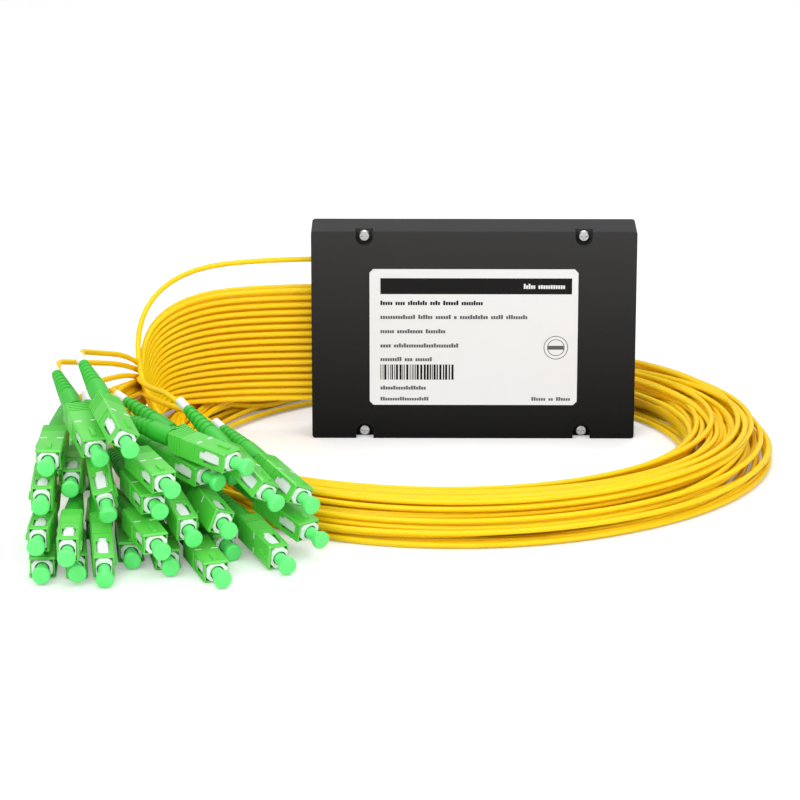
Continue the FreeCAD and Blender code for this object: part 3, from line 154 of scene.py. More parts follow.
@dataclass(frozen=True)
class Finish:
    """One surface finish, with the grain of its moulding.

    Lengths are in metres, so that the grain keeps its real size.
    """

    name: str
    colour: tuple[float, float, float]
    roughness: float = 0.4
    metallic: float = 0.0
    coarse: float = 60.0
    fine: float = 1500.0
    uneven: float = 0.12
    bump: float = 0.1
    depth: float = 0.00002
    coat: float = 0.0
    coat_roughness: float = 0.2
    specular: float = 0.5
    subsurface: float = 0.0
    subsurface_reach: float = 0.002
    # Painted shade by height: the colour's factor at the foot and at the height below, so the
    # foot is painted darker and the top lighter, as if light fell from above.
    painted_shade: tuple[float, float] = NO_PAINTED_SHADE
    painted_shade_height: float = 0.08

    def shade(
        self, tree: bpy.types.NodeTree, texture: bpy.types.Node
    ) -> bpy.types.NodeSocket:
        """Find how light the colour is: the grain's, times a painted shade that is dark at the
        foot and light towards the top.

        Args:
            tree: the material's tree.
            texture: the moulded_grain group's node.

        Returns:
            The socket that gives the factor.
        """
        if self.painted_shade == NO_PAINTED_SHADE:
            return texture.outputs["Shade"]
        # Painted shade: the colour's factor rises with height in the object, dark at the foot
        # and light at the top.
        place = tree.nodes.new("ShaderNodeTexCoord")
        split = tree.nodes.new("ShaderNodeSeparateXYZ")
        rise = tree.nodes.new("ShaderNodeMapRange")
        rise.inputs["From Max"].default_value = self.painted_shade_height
        rise.inputs["To Min"].default_value = self.painted_shade[0]
        rise.inputs["To Max"].default_value = self.painted_shade[1]
        scaled = tree.nodes.new("ShaderNodeMath")
        scaled.operation = "MULTIPLY"
        tree.links.new(place.outputs["Object"], split.inputs[0])
        tree.links.new(split.outputs["Z"], rise.inputs["Value"])
        tree.links.new(rise.outputs["Result"], scaled.inputs[0])
        tree.links.new(texture.outputs["Shade"], scaled.inputs[1])
        return scaled.outputs[0]

    def surface(
        self, tree: bpy.types.NodeTree, texture: bpy.types.Node
    ) -> tuple[bpy.types.NodeSocket, bpy.types.NodeSocket]:
        """Make what the surface shows.

        Args:
            tree: the material's tree.
            texture: the moulded_grain group's node.

        Returns:
            The sockets that give its colour and its height.
        """
        tint = tree.nodes.new("ShaderNodeVectorMath")
        tint.operation = "SCALE"
        tint.inputs[0].default_value = self.colour
        tree.links.new(self.shade(tree, texture), tint.inputs["Scale"])
        return tint.outputs[0], texture.outputs["Height"]

    def build(self, grain: bpy.types.NodeTree) -> bpy.types.Material:
        """Make the material.

        Args:
            grain: the moulded_grain group.

        Returns:
            The finished material.
        """
        made = bpy.data.materials.new(self.name)
        made.use_nodes = True
        nodes, links = made.node_tree.nodes, made.node_tree.links
        shader = nodes["Principled BSDF"]
        texture = nodes.new("ShaderNodeGroup")
        texture.node_tree = grain
        texture.inputs["Coarse"].default_value = self.coarse
        texture.inputs["Fine"].default_value = self.fine
        texture.inputs["Uneven"].default_value = self.uneven
        colour, height = self.surface(made.node_tree, texture)
        links.new(colour, shader.inputs["Base Color"])
        polish = nodes.new("ShaderNodeMath")
        polish.operation = "MULTIPLY"
        polish.inputs[1].default_value = self.roughness
        links.new(texture.outputs["Polish"], polish.inputs[0])
        links.new(polish.outputs[0], shader.inputs["Roughness"])
        relief = nodes.new("ShaderNodeBump")
        relief.inputs["Strength"].default_value = self.bump
        relief.inputs["Distance"].default_value = self.depth
        links.new(height, relief.inputs["Height"])
        links.new(relief.outputs["Normal"], shader.inputs["Normal"])
        shader.inputs["Metallic"].default_value = self.metallic
        shader.inputs["Specular IOR Level"].default_value = self.specular
        shader.inputs["Coat Weight"].default_value = self.coat
        shader.inputs["Coat Roughness"].default_value = self.coat_roughness
        shader.inputs["Subsurface Weight"].default_value = self.subsurface
        shader.inputs["Subsurface Radius"].default_value = SOFT_REACH
        shader.inputs["Subsurface Scale"].default_value = self.subsurface_reach
        return made


@dataclass(frozen=True)
class Weave(Finish):
    """A woven strap: a fine slanting weave with frayed lint, dark at one edge."""

    along: tuple[float, float, float] = (0.669, -0.743, 0.0)
    thread: float = 0.0011
    slant: float = 0.8
    fray: float = 1.5
    lint: tuple[float, float, float] = (0.34, 0.29, 0.26)
    edge: float = 0.0072
    middle: tuple[float, float, float] = (0.0, 0.0, 0.0)

    def threads(self, tree: bpy.types.NodeTree, turn: float) -> bpy.types.NodeSocket:
        """Make one set of threads.

        Args:
            tree: the material's tree.
            turn: how far the set slants, in radians.

        Returns:
            The socket that gives how far up a thread a point is.
        """
        place = tree.nodes.new("ShaderNodeTexCoord")
        turned = tree.nodes.new("ShaderNodeMapping")
        turned.inputs["Rotation"].default_value = (turn, 0.0, turn)
        tree.links.new(place.outputs["Object"], turned.inputs["Vector"])
        made = tree.nodes.new("ShaderNodeTexWave")
        made.inputs["Scale"].default_value = WAVES_PER_SCALE / self.thread
        made.inputs["Distortion"].default_value = self.fray
        made.inputs["Detail Scale"].default_value = 2 * self.fray
        tree.links.new(turned.outputs[0], made.inputs["Vector"])
        return made.outputs["Fac"]

    def surface(
        self, tree: bpy.types.NodeTree, texture: bpy.types.Node
    ) -> tuple[bpy.types.NodeSocket, bpy.types.NodeSocket]:
        """Make two crossed sets of threads over a dark ground, bare at one edge.

        Args:
            tree: the material's tree.
            texture: the moulded_grain group's node; not used here.

        Returns:
            The sockets that give its colour and its height.
        """
        nodes, links = tree.nodes, tree.links
        place = nodes.new("ShaderNodeTexCoord")
        weave = nodes.new("ShaderNodeMath")
        weave.operation = "MULTIPLY"
        links.new(self.threads(tree, self.slant), weave.inputs[0])
        links.new(self.threads(tree, -self.slant), weave.inputs[1])
        reach = nodes.new("ShaderNodeVectorMath")
        reach.operation = "DOT_PRODUCT"
        reach.inputs[1].default_value = self.along
        links.new(place.outputs["Object"], reach.inputs[0])
        middle = Vector(self.middle).dot(Vector(self.along))
        inner = nodes.new("ShaderNodeMath")
        inner.operation = "LESS_THAN"
        inner.inputs[1].default_value = middle + self.edge
        links.new(reach.outputs["Value"], inner.inputs[0])
        share = nodes.new("ShaderNodeMath")
        share.operation = "MULTIPLY"
        links.new(weave.outputs[0], share.inputs[0])
        links.new(inner.outputs[0], share.inputs[1])
        mix = nodes.new("ShaderNodeMix")
        mix.data_type = "RGBA"
        mix.inputs["A"].default_value = (*self.colour, 1.0)
        mix.inputs["B"].default_value = (*self.lint, 1.0)
        links.new(share.outputs[0], mix.inputs["Factor"])
        return mix.outputs["Result"], share.outputs[0]


CASE = Finish(
    "case_black",
    (0.014, 0.014, 0.0145),
    0.55,
    bump=0.25,
    fine=2600.0,
    specular=0.12,
    # painted shade: the case is painted dark at its foot and light at its top, as if light fell
    # from above
    painted_shade=(0.2, 2.6),
)
SCREW = Finish("screw_steel", (0.62, 0.62, 0.63), 0.32, metallic=1.0, uneven=0.25)
LABEL = Finish("label_film", (0.79, 0.80, 0.83), 0.35, bump=0.05, uneven=0.02)
INK = Finish("label_ink", (0.007, 0.007, 0.008), 0.5, uneven=0.2, specular=0.15)
FAINT_INK = Finish("label_faint_ink", (0.09, 0.09, 0.1), 0.5, uneven=0.2)
JACKET = Finish(
    "cable_yellow",
    (1.0, 0.63, 0.003),
    0.4,
    coarse=45.0,
    uneven=0.08,
    specular=0.28,
    subsurface=0.4,
    subsurface_reach=0.003,
)
SLEEVE = Finish(
    "sleeve_green",
    (0.085, 0.64, 0.045),
    0.5,
    uneven=0.1,
    specular=0.9,
    coat=0.9,
    coat_roughness=0.55,
)
BOOT = Finish(
    "boot_green", (0.03, 0.5, 0.025), 0.5, uneven=0.12, coat=0.6, coat_roughness=0.5
)
CAP = Finish(
    "cap_green",
    (0.12, 0.86, 0.19),
    0.4,
    subsurface=0.35,
    uneven=0.06,
    coat=0.6,
    coat_roughness=0.5,
)
WHITE = Finish("frame_white", (0.88, 0.89, 0.91), 0.38, uneven=0.04)
CERAMIC = Finish("ferrule_white", (0.9, 0.9, 0.87), 0.15, uneven=0.02)
PLATED = Finish("rear_body_plate", (0.6, 0.6, 0.6), 0.25, metallic=1.0)
CRIMP = Finish("crimp_metal", (0.7, 0.7, 0.72), 0.35, metallic=1.0)
GREY = Finish("clamp_grey", (0.2, 0.21, 0.23), 0.5)
CHIP = Finish("chip_glass", (0.7, 0.8, 0.84), 0.1, uneven=0.02)
BUFFER = Finish("buffer_clear", (0.84, 0.84, 0.8), 0.3)
STRAP_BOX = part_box("bundle_strap")
WEAVE = Weave(
    "strap_weave",
    (0.05, 0.042, 0.04),
    0.8,
    bump=0.8,
    depth=0.00015,
    specular=0.2,
    middle=tuple((low + high) / 2 for low, high in zip(*STRAP_BOX)),
)

CAD_FINISHES: dict[str, Finish] = {
    "base_tray": CASE,
    "cover": CASE,
    "cover_screws": SCREW,
    "rating_label": LABEL,
    "cable_clamp": GREY,
    "clamp_screws": SCREW,
    "splitter_tube": SCREW,
    "splitter_chip": CHIP,
    "input_fibre_block": CHIP,
    "output_fibre_block": CHIP,
    "ribbon_fibres": BUFFER,
    "fan_out_block": GREY,
    "inner_fibres": BUFFER,
    "bundle_strap": WEAVE,
    "plug_frames": WHITE,
    "ferrules": CERAMIC,
    "ferrule_springs": SCREW,
    "rear_bodies": PLATED,
    "crimp_rings": CRIMP,
    "boots": BOOT,
    "marker_collars": WHITE,
    "dust_caps": CAP,
}


class Palette:
    """Every finish as a material, each made once."""

    def __init__(self) -> None:
        """Build the shared grain."""
        self.grain = moulded_grain()
        self.made: dict[str, bpy.types.Material] = {}

    def of(self, finish: Finish) -> bpy.types.Material:
        """Find the material of a finish, or make it.

        Args:
            finish: the finish.

        Returns:
            Its material.
        """
        if finish.name not in self.made:
            self.made[finish.name] = finish.build(self.grain)
        return self.made[finish.name]

    def dress(self, thing: bpy.types.Object, finish: Finish) -> None:
        """Give an object one finish all over."""
        thing.data.materials.clear()
        thing.data.materials.append(self.of(finish))


# -------------------------------------------------------------------- cables


RIM_DEPTH = 0.05 * MM
Place = tuple[float, float]


@dataclass
class Plug:
    """Where one plug lies, read from its coupling sleeve."""

    number: int
    forward: Vector
    front: Vector = field(default_factory=Vector)
    side: Vector = field(default_factory=Vector)
    key: Vector = field(default_factory=Vector)
    jacket_end: float = 30.9
    tail_clear: float = 59.5

    def __post_init__(self) -> None:
        """Find the middle of the sleeve's front face, and its wide direction."""
        mesh = frame["nodes"][self.node].data
        points = np.array([v.co for v in mesh.vertices], float)
        along = points @ np.array(self.forward)
        rim = np.unique(points[along > along.max() - RIM_DEPTH].round(7), axis=0)
        across = self.forward.orthogonal().normalized()
        over = self.forward.cross(across)
        plan = rim @ np.array([across, over]).T
        middle = (plan.min(0) + plan.max(0)) / 2
        self.front = (
            self.forward * float(along.max())
            + across * float(middle[0])
            + over * float(middle[1])
        )
        spread = plan - middle
        _, wide = np.linalg.eigh(spread.T @ spread)
        self.side = (across * wide[0, 1] + over * wide[1, 1]).normalized()
        self.key = self.forward.cross(self.side)

    @property
    def node(self) -> str:
        """The CAD node of its coupling sleeve."""
        return f"coupling_sleeve_{self.number:02d}"

    @property
    def body(self) -> str:
        """The CAD body of its coupling sleeve."""
        return f"sleeve_{self.number:02d}"

    def behind(self, distance: float) -> Vector:
        """The point so many millimetres behind the sleeve's front, in metres."""
        return self.front - self.forward * (distance * MM)


def read_plugs() -> list[Plug]:
    """Find every plug, with its direction from its slide joint.

    Returns:
        The plugs, in order; the input's is the last.
    """
    slides = {joint["child"]: joint["axis"] for joint in frame["joints"]}
    return [
        Plug(number, Vector(slides[f"sleeve_{number:02d}"]).normalized())
        for number in range(1, PLUGS + 1)
    ]


@dataclass(frozen=True)
class Step:
    """A step on a cable's way out of the box and down, in millimetres.

    A cable from the top hole passes it by the whole spread further left. The
    point is beside the cable's own hole, and keeps a share of its height.
    """

    x: float
    spread: float
    beside: float
    up: float
    share: float


WAY_OUT = (
    Step(-74, 2, 0, 0, 1.0),
    Step(-100, 8, 1, -1, 0.95),
    Step(-114, 10, -14, 6, 0.66),
    Step(-114, 8, -40, 6, 0.36),
    Step(-98, 8, -62, 7, 0.12),
)


@dataclass
class CableRing:
    """The 33 cables: out of the box, round the coil and back to the plugs.

    Lengths are in millimetres and angles in degrees, counted anticlockwise
    from +X as seen from above.
    """

    jacket: float = 2.0
    roundness: int = 2
    smoothness: int = 5
    spline_order: int = 3
    middle: tuple[float, float] = (-10.0, -25.0)
    half_length: float = 104.0
    half_width: float = 90.0
    row_counts: tuple[int, ...] = (14, 13, 13, 11, 9, 6)
    pitch: float = 2.8
    row_rise: float = 2.5
    lowest: float = 1.3
    strap_angle: float = 222.0
    strap_squeeze: float = 0.36
    strap_spread: float = 26.0
    arrangements: int = 4
    first_angle: float = 236.0
    last_angle: float = 868.0
    points_per_turn: int = 18
    crossing: float = 0.24
    moving: tuple[float, float] = (0.35, 0.65)
    sway: tuple[float, float] = (0.5, 1.4)
    phase: float = 6.28
    sway_turns: tuple[float, float] = (1.3, 1.7)
    lift_share: float = 0.25
    lowest_outlet: float = 13.9
    outlet_pitch: float = 2.79
    outlet_column: float = 2.5
    input_outlet: float = 67.0
    jacket_start: float = -46.0
    rear_line: float = -60.0
    rear_start: tuple[float, float, float] = (-124.0, 25.0, 10.0)
    rear_fan: tuple[float, float] = (0.3, -142.0)
    rear_pull: tuple[float, float] = (0.75, -126.0)
    rear_lowest: float = 6.0
    front_start: tuple[float, float, float] = (-116.0, -6.0, 18.0)
    gather: tuple[float, float] = (-124.0, -34.0)
    gather_lowest: float = 20.0
    gather_rise: tuple[float, float] = (10.0, 0.5)
    heap_top: float = 11.0
    heap_share: float = 0.4
    outer_line: float = -134.0
    outer_share: float = 0.66
    outer_lowest: float = 19.5
    bow: float = 2.0
    seed: int = 7

    def slots(self) -> list[Place]:
        """Find every place in the bundle's section.

        Returns:
            The places, each across and up, in millimetres.
        """
        found = []
        for row, count in enumerate(self.row_counts):
            for place in range(count):
                across = (place - (count - 1) / 2) * self.pitch
                found.append((across, self.lowest + row * self.row_rise))
        return found

    def places(self, columns: list[list[Place]], number: int) -> list[Place]:
        """The places that one cable takes: its own two, and others between."""
        first, last = columns[0][2 * number], columns[0][2 * number + 1]
        return [first, columns[1][2 * number], columns[2][2 * number], last]

    def ring_point(self, angle: float, across: float, up: float) -> Vector:
        """Find a point of the coil.

        Args:
            angle: how far round.
            across: distance outwards from the coil's middle line.
            up: height above the floor.

        Returns:
            The point, in metres.
        """
        away = (angle - self.strap_angle + 180.0) % 360.0 - 180.0
        near = math.exp(-((away / self.strap_spread) ** 2))
        across *= 1.0 - self.strap_squeeze * near
        turn = math.radians(angle)
        return mm(
            self.middle[0] + (self.half_length + across) * math.cos(turn),
            self.middle[1] + (self.half_width + across) * math.sin(turn),
            max(up, self.jacket / 2),
        )

    def outlet(self, number: int) -> Place:
        """Find a cable's hole in the box.

        Args:
            number: the cable's number from 0; the last is the input's.

        Returns:
            The hole's Y and Z, in millimetres.
        """
        if number == OUTPUTS:
            return 0.0, self.input_outlet
        row, column = divmod(number, 2)
        return (
            (2 * column - 1) * self.outlet_column,
            self.lowest_outlet + row * self.outlet_pitch,
        )

    def way_out(self, number: int) -> list[Vector]:
        """Lead a cable from the clamp in the box out to the left and down.

        Args:
            number: the cable's number from 0.

        Returns:
            The points, in metres.
        """
        y, z = self.outlet(number)
        lift = z / self.input_outlet
        return [mm(self.jacket_start, y, z)] + [
            mm(step.x - step.spread * lift, y + step.beside, step.up + step.share * z)
            for step in WAY_OUT
        ]

    def turns(self, places: list[Place], drift: random.Random) -> list[Vector]:
        """Lead a cable round the coil, from each of its places to the next.

        Args:
            places: where the cable lies in the bundle, one place after another.
            drift: the source of chance.

        Returns:
            The points, in metres.
        """
        steps = round(
            (self.last_angle - self.first_angle) / 360 * self.points_per_turn
        )
        (sway, start), (lift, lift_start) = (
            (drift.uniform(*self.sway), drift.uniform(0, self.phase))
            for _ in range(2)
        )
        changes = len(places) - 1
        moves = [
            (number + drift.uniform(*self.moving)) / changes
            for number in range(changes)
        ]
        made = []
        for step in range(steps + 1):
            share = step / steps
            across, up = places[0]
            for move, place in zip(moves, places[1:]):
                change = min(max((share - move) / self.crossing + 0.5, 0.0), 1.0)
                change = change * change * (3 - 2 * change)
                across += (place[0] - across) * change
                up += (place[1] - up) * change
            angle = self.first_angle + share * (self.last_angle - self.first_angle)
            turn = math.radians(angle)
            across += sway * math.sin(turn * self.sway_turns[0] + start)
            wave = math.sin(turn * self.sway_turns[1] + lift_start)
            up += self.lift_share * lift * wave
            made.append(self.ring_point(angle, across, up))
        return made

    def rear_way(self, x: float, z: float) -> list[Vector]:
        """Lead a cable from the coil's left side towards a plug at the back.

        Args:
            x: where the plug's straight tail ends, in millimetres.
            z: how high it ends, in millimetres.

        Returns:
            The points, in metres.
        """
        left, behind, up = self.rear_start
        fan, fan_from = self.rear_fan
        pull, towards = self.rear_pull
        return [
            mm(left, behind + fan * (fan_from - x), up),
            mm(pull * x + (1 - pull) * towards, 0, max(z, self.rear_lowest) + 1),
        ]

    def front_way(self, clear: Vector) -> list[Vector]:
        """Lead a cable from the coil's left side towards a plug in the heap.

        Args:
            clear: where the plug's straight tail ends, in metres.

        Returns:
            The points, in metres.
        """
        x, _, z = clear / MM
        lift, rise = self.gather_rise
        gather = mm(*self.gather, max(self.gather_lowest, lift + rise * z))
        half_way = (clear + gather) / 2
        low = max(z, self.heap_top) * MM * self.heap_share
        half_way.z = low + gather.z * (1 - self.heap_share)
        if x < self.outer_line:
            half_way = clear * self.outer_share + gather * (1 - self.outer_share)
            half_way.z = max(half_way.z, self.outer_lowest * MM)
        half_way.x -= self.bow * MM
        return [mm(*self.front_start), gather, half_way]

    def way_in(self, plug: Plug) -> list[Vector]:
        """Lead a cable from the coil's left side into its plug's boot.

        Args:
            plug: the plug.

        Returns:
            The points, in metres.
        """
        clear = plug.behind(plug.tail_clear)
        x, y, z = clear / MM
        way = self.rear_way(x, z) if y > self.rear_line else self.front_way(clear)
        return way + [clear, plug.behind(plug.jacket_end)]

    def round_curve(self, name: str, route: list[Vector]) -> bpy.types.Object:
        """Make a smooth round curve along a route.

        Args:
            name: the piece's name.
            route: the points that it runs past, in metres.

        Returns:
            The curve's object.
        """
        curve = bpy.data.curves.new(name, "CURVE")
        curve.dimensions = "3D"
        curve.bevel_depth = self.jacket / 2 * MM
        curve.bevel_resolution = self.roundness
        curve.resolution_u = self.smoothness
        curve.use_fill_caps = True
        spline = curve.splines.new("NURBS")
        spline.points.add(len(route) - 1)
        for point, place in zip(spline.points, route):
            point.co = (*place, 1.0)
        spline.order_u = self.spline_order
        spline.use_endpoint_u = True
        made = bpy.data.objects.new(name, curve)
        bpy.context.collection.objects.link(made)
        return made

    def lay(self, plugs: list[Plug], palette: Palette) -> list[bpy.types.Object]:
        """Make every cable as a cord.

        Args:
            plugs: the plugs, in order.
            palette: the finishes.

        Returns:
            The cords.
        """
        drift = random.Random(self.seed)
        columns = []
        for _ in range(self.arrangements):
            slots = self.slots()
            drift.shuffle(slots)
            columns.append(slots)
        cords = []
        for plug in plugs:
            number = plug.number - 1
            route = (
                self.way_out(number)
                + self.turns(self.places(columns, number), drift)
                + self.way_in(plug)
            )
            name = f"cable_{plug.number:02d}" if number < OUTPUTS else "cable_input"
            cord = self.round_curve(name, route)
            palette.dress(cord, JACKET)
            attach(cord, BOX_BODY)
            cords.append(cord)
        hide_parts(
            "cable_coil", "output_cables", "input_cable", "cable_tails"
        )
        return cords


# --------------------------------------------------------------------- label


class Ink(Enum):
    """The label's prints; each is one piece."""

    DARK = "label_print_dark"
    FAINT = "label_print_faint"
    WHITE = "label_print_white"


INKS: dict[Ink, Finish] = {Ink.DARK: INK, Ink.FAINT: FAINT_INK, Ink.WHITE: LABEL}
LABEL_LEFT = -34.5


@dataclass(frozen=True)
class Line:
    """A line of words as plain blocks, in millimetres.

    It has its middle height, its blocks' tallest height, each word's length, its
    left edge, its ink and how many layers of print it lies on.
    """

    z: float
    height: float
    words: tuple[float, ...]
    start: float = LABEL_LEFT
    ink: Ink = Ink.FAINT
    layer: int = 0


LINES = (
    Line(52.7, 1.7, (4.6, 3.6, 7.2, 3.8, 5.8, 8.0), ink=Ink.DARK),
    Line(47.3, 1.6, (13.0, 5.4, 5.8, 1.2, 10.5, 4.6, 8.0)),
    Line(41.8, 1.6, (5.2, 9.6, 7.4)),
    Line(36.3, 1.6, (4.0, 24.0)),
    Line(31.0, 1.6, (8.0, 3.0, 6.2)),
    Line(19.9, 1.5, (17.0,)),
    Line(15.6, 1.4, (18.0,)),
    Line(15.6, 1.4, (5.4, 1.8, 5.4), 21.6),
    Line(59.1, 1.9, (4.4, 10.0), 18.4, Ink.WHITE, 1),
)


@dataclass
class LabelPrint:
    """Plain bars, blocks and rings in place of the label's words and marks.

    Lengths are in millimetres.
    """

    proud: float = 0.03
    cover_face: float = -9.2
    band: tuple[float, float, float] = (59.1, 70.7, 6.1)
    code: tuple[float, float] = (25.95, 5.9)
    code_end: float = -8.0
    letter: float = 0.72
    gap: float = 0.2
    word_gap: float = 1.0
    rises: tuple[float, ...] = (0.7, 0.7, 0.74, 1.0)
    widths: tuple[float, ...] = (0.3, 0.3, 0.55, 0.8)
    spaces: tuple[float, ...] = (0.3, 0.3, 0.5)
    stamp_middle: tuple[float, float] = (30.5, 35.5)
    stamp_bar: tuple[float, float] = (5.8, 1.5)
    stamp_rings: tuple[float, float] = (4.4, 3.1)
    ring_half: float = 0.14
    ring_flat: float = 0.2
    ring_sides: tuple[int, int] = (48, 6)
    seed: int = 3

    def bar(
        self, x: float, z: float, width: float, height: float, layer: int = 0
    ) -> bpy.types.Object:
        """Make a thin printed bar.

        Args:
            x: its left edge.
            z: its middle height.
            width: along X.
            height: along Z.
            layer: how many layers of print it lies on.

        Returns:
            The bar.
        """
        middle = mm(x + width / 2, self.cover_face - (layer + 0.5) * self.proud, z)
        bpy.ops.object.select_all(action="DESELECT")
        bpy.ops.mesh.primitive_cube_add(size=1.0, location=middle)
        made = bpy.context.object
        made.scale = (width * MM, self.proud * MM, height * MM)
        bpy.ops.object.transform_apply(location=True, rotation=True, scale=True)
        return made

    def words(self, line: Line) -> list[bpy.types.Object]:
        """Make a line of words, each a row of small plain blocks.

        Args:
            line: the line.

        Returns:
            The blocks.
        """
        chance = random.Random(round(line.z * 10))
        made, x = [], line.start
        for length in line.words:
            count = max(round(length / (self.letter + self.gap)), 1)
            pitch = length / count
            for number in range(count):
                tall = line.height * chance.choice(self.rises)
                middle = line.z - line.height / 2 + tall / 2
                left = x + number * pitch
                made.append(
                    self.bar(left, middle, pitch - self.gap, tall, line.layer)
                )
            x += length + self.word_gap
        return made

    def stamp(self) -> list[bpy.types.Object]:
        """Make a plain round stamp: two rings with a bar across.

        Returns:
            The bar and the rings.
        """
        x, z = self.stamp_middle
        width, height = self.stamp_bar
        made = [self.bar(x - width / 2, z, width, height)]
        for radius in self.stamp_rings:
            bpy.ops.mesh.primitive_torus_add(
                major_radius=radius * MM,
                minor_radius=self.ring_half * MM,
                major_segments=self.ring_sides[0],
                minor_segments=self.ring_sides[1],
                location=mm(x, self.cover_face, z),
                rotation=(math.pi / 2, 0.0, 0.0),
            )
            ring = bpy.context.object
            ring.scale = (1.0, 1.0, self.ring_flat)
            bpy.ops.object.transform_apply(location=True, rotation=True, scale=True)
            made.append(ring)
        return made

    def barcode(self) -> list[bpy.types.Object]:
        """Make a row of upright bars of different widths that encodes nothing.

        Returns:
            The bars.
        """
        made, x = [], LABEL_LEFT
        chance = random.Random(self.seed)
        while x < self.code_end:
            width = chance.choice(self.widths)
            made.append(self.bar(x, self.code[0], width, self.code[1]))
            x += width + chance.choice(self.spaces)
        return made

    def build(self, palette: Palette) -> list[bpy.types.Object]:
        """Make the dark, the faint and the white print, one object each.

        Args:
            palette: the finishes.

        Returns:
            The prints.
        """
        z, width, height = self.band
        prints: dict[Ink, list[bpy.types.Object]] = {ink: [] for ink in Ink}
        prints[Ink.DARK] += [self.bar(LABEL_LEFT, z, width, height)] + self.barcode()
        for line in LINES:
            prints[line.ink] += self.words(line)
        prints[Ink.FAINT] += self.stamp()
        made = []
        for ink, bars in prints.items():
            bpy.ops.object.select_all(action="DESELECT")
            for bar in bars:
                bar.select_set(True)
            bpy.context.view_layer.objects.active = bars[0]
            bpy.ops.object.join()
            joined = bpy.context.object
            joined.name = ink.value
            palette.dress(joined, INKS[ink])
            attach(joined, BOX_BODY)
            made.append(joined)
        return made


# --------------------------------------------------------------------- plugs


@dataclass
class SleeveMarks:
    """The short white index marks across each sleeve's wide faces."""

    back: float = 12.2
    width: float = 0.7
    reach: float = 2.3
    inset: float = 0.55
    half_wide: float = 4.5
    half_high: float = 3.7
    proud: float = 0.03

    def build(self, plug: Plug, palette: Palette) -> bpy.types.Object:
        """Put the marks on one plug.

        Args:
            plug: the plug.
            palette: the finishes.

        Returns:
            The marks, as one object.
        """
        bpy.ops.object.select_all(action="DESELECT")
        aside = self.half_wide - self.inset - self.reach / 2
        turn = Matrix((plug.forward, plug.side, plug.key)).transposed().to_4x4()
        size = Matrix.Diagonal(
            (self.width * MM, self.reach * MM, 2 * self.proud * MM, 1.0)
        )
        made = []
        for face in (-1, 1):
            for edge in (-1, 1):
                bpy.ops.mesh.primitive_cube_add(size=1.0)
                mark = bpy.context.object
                middle = (
                    plug.behind(self.back)
                    + plug.side * (edge * aside * MM)
                    + plug.key * (face * self.half_high * MM)
                )
                mark.matrix_world = Matrix.Translation(middle) @ turn @ size
                made.append(mark)
        for mark in made:
            mark.select_set(True)
        bpy.context.view_layer.objects.active = made[0]
        bpy.ops.object.join()
        bpy.ops.object.transform_apply(location=True, rotation=True, scale=True)
        joined = bpy.context.object
        joined.name = f"sleeve_marks_{plug.number:02d}"
        palette.dress(joined, WHITE)
        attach(joined, plug.body)
        return joined


# -------------------------------------------------------------------- studio


@dataclass(frozen=True)
class Lamp:
    """A square area lamp, in metres and watts."""

    name: str
    place: tuple[float, float, float]
    size: float
    power: float
    aim: tuple[float, float, float] = (0.0, -0.05, 0.02)

    def add(self) -> None:
        """Put the lamp in the scene."""
        bpy.ops.object.light_add(type="AREA", location=self.place)
        made = bpy.context.object
        made.name = self.name
        made.data.size = self.size
        made.data.energy = self.power
        away = Vector(self.aim) - Vector(self.place)
        made.rotation_euler = away.to_track_quat("-Z", "Y").to_euler()


LAMPS = (
    Lamp("key", (-0.5, -1.2, 0.9), 0.9, 11.0),
    Lamp("fill", (0.9, -0.8, 0.8), 1.0, 5.0),
    Lamp("top", (0.0, 0.25, 1.4), 1.2, 8.0, (0.0, -0.02, 0.0)),
)


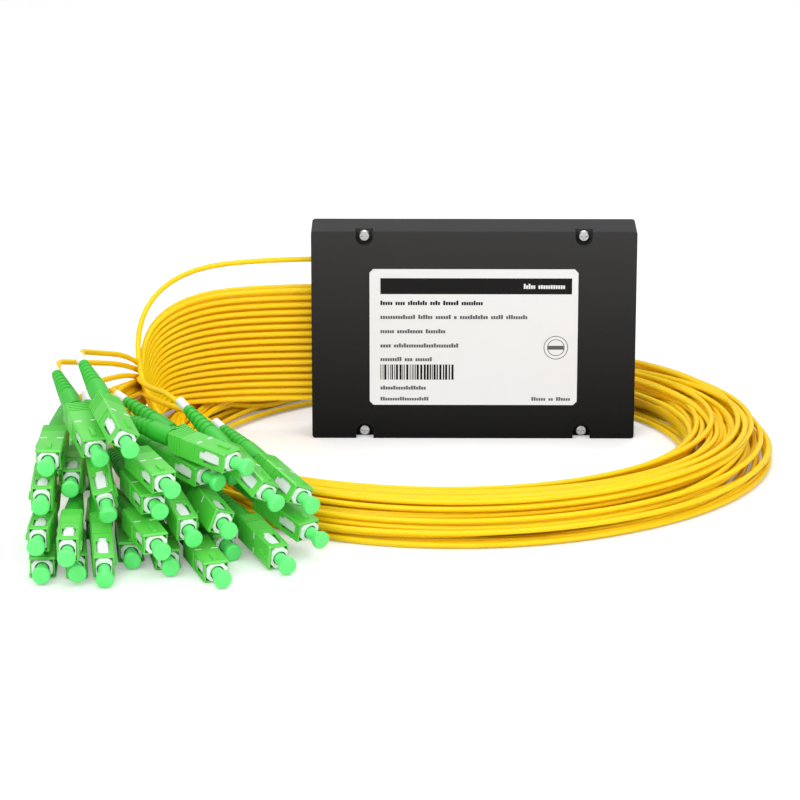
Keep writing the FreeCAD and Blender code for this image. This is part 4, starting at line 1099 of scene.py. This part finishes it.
@dataclass
class Studio:
    """Camera, lamps, floor and the white beyond, in metres and degrees."""

    aim: tuple[float, float, float] = (-0.02725, -0.009, 0.015)
    distance: float = 1.383
    elevation: float = 17.6
    azimuth: float = 0.35
    lens: float = 167.13
    clip: tuple[float, float] = (0.05, 50.0)
    floor_colour: float = 0.82
    floor_roughness: float = 0.6
    floor_specular: float = 0.1
    floor_lift: float = 0.24
    floor_size: float = 30.0
    sky_light: float = 0.56
    sky_seen: float = 1.0

    def camera(self) -> None:
        """Set the camera."""
        up, turn = math.radians(self.elevation), math.radians(self.azimuth)
        level = math.cos(up)
        back = Vector(
            (math.sin(turn) * level, -math.cos(turn) * level, math.sin(up))
        )
        bpy.ops.object.camera_add(location=Vector(self.aim) + back * self.distance)
        made = bpy.context.object
        made.rotation_euler = (-back).to_track_quat("-Z", "Y").to_euler()
        made.data.lens = self.lens
        made.data.clip_start, made.data.clip_end = self.clip
        bpy.context.scene.camera = made

    def floor(self) -> None:
        """Lay a pale floor that the camera sees as nearly white."""
        bpy.ops.mesh.primitive_plane_add(size=self.floor_size)
        made = bpy.context.object
        made.name = "floor"
        look = bpy.data.materials.new("floor_pale")
        look.use_nodes = True
        nodes, links = look.node_tree.nodes, look.node_tree.links
        shader = nodes["Principled BSDF"]
        shader.inputs["Base Color"].default_value = (*(self.floor_colour,) * 3, 1.0)
        shader.inputs["Roughness"].default_value = self.floor_roughness
        shader.inputs["Specular IOR Level"].default_value = self.floor_specular
        path = nodes.new("ShaderNodeLightPath")
        lift = nodes.new("ShaderNodeMath")
        lift.operation = "MULTIPLY"
        lift.inputs[1].default_value = self.floor_lift
        links.new(path.outputs["Is Camera Ray"], lift.inputs[0])
        shader.inputs["Emission Color"].default_value = (1.0, 1.0, 1.0, 1.0)
        links.new(lift.outputs[0], shader.inputs["Emission Strength"])
        made.data.materials.append(look)

    def world(self) -> None:
        """Set even light from all round; the camera sees plain white."""
        sky = bpy.data.worlds.new("studio_white")
        bpy.context.scene.world = sky
        sky.use_nodes = True
        nodes, links = sky.node_tree.nodes, sky.node_tree.links
        nodes["Background"].inputs["Color"].default_value = (1.0, 1.0, 1.0, 1.0)
        path = nodes.new("ShaderNodeLightPath")
        mix = nodes.new("ShaderNodeMath")
        mix.operation = "MULTIPLY_ADD"
        mix.inputs[1].default_value = self.sky_seen - self.sky_light
        mix.inputs[2].default_value = self.sky_light
        links.new(path.outputs["Is Camera Ray"], mix.inputs[0])
        links.new(mix.outputs[0], nodes["Background"].inputs["Strength"])

    def build(self) -> None:
        """Set up the whole studio."""
        self.camera()
        self.floor()
        self.world()
        for lamp in LAMPS:
            lamp.add()
        bpy.context.scene.view_settings.view_transform = "Standard"


def main() -> None:
    """Build everything in order."""
    logging.basicConfig(level=logging.INFO)
    palette = Palette()
    Studio().build()
    for node, finish in CAD_FINISHES.items():
        palette.dress(frame["nodes"][node], finish)
        log.info("dressed %s", node)
    plugs = read_plugs()
    for plug in plugs:
        palette.dress(frame["nodes"][plug.node], SLEEVE)
        log.info("marked %s", SleeveMarks().build(plug, palette).name)
    for cord in CableRing().lay(plugs, palette):
        log.info("laid %s", cord.name)
    for printed in LabelPrint().build(palette):
        log.info("printed %s", printed.name)


if __name__ == "__main__":
    main()
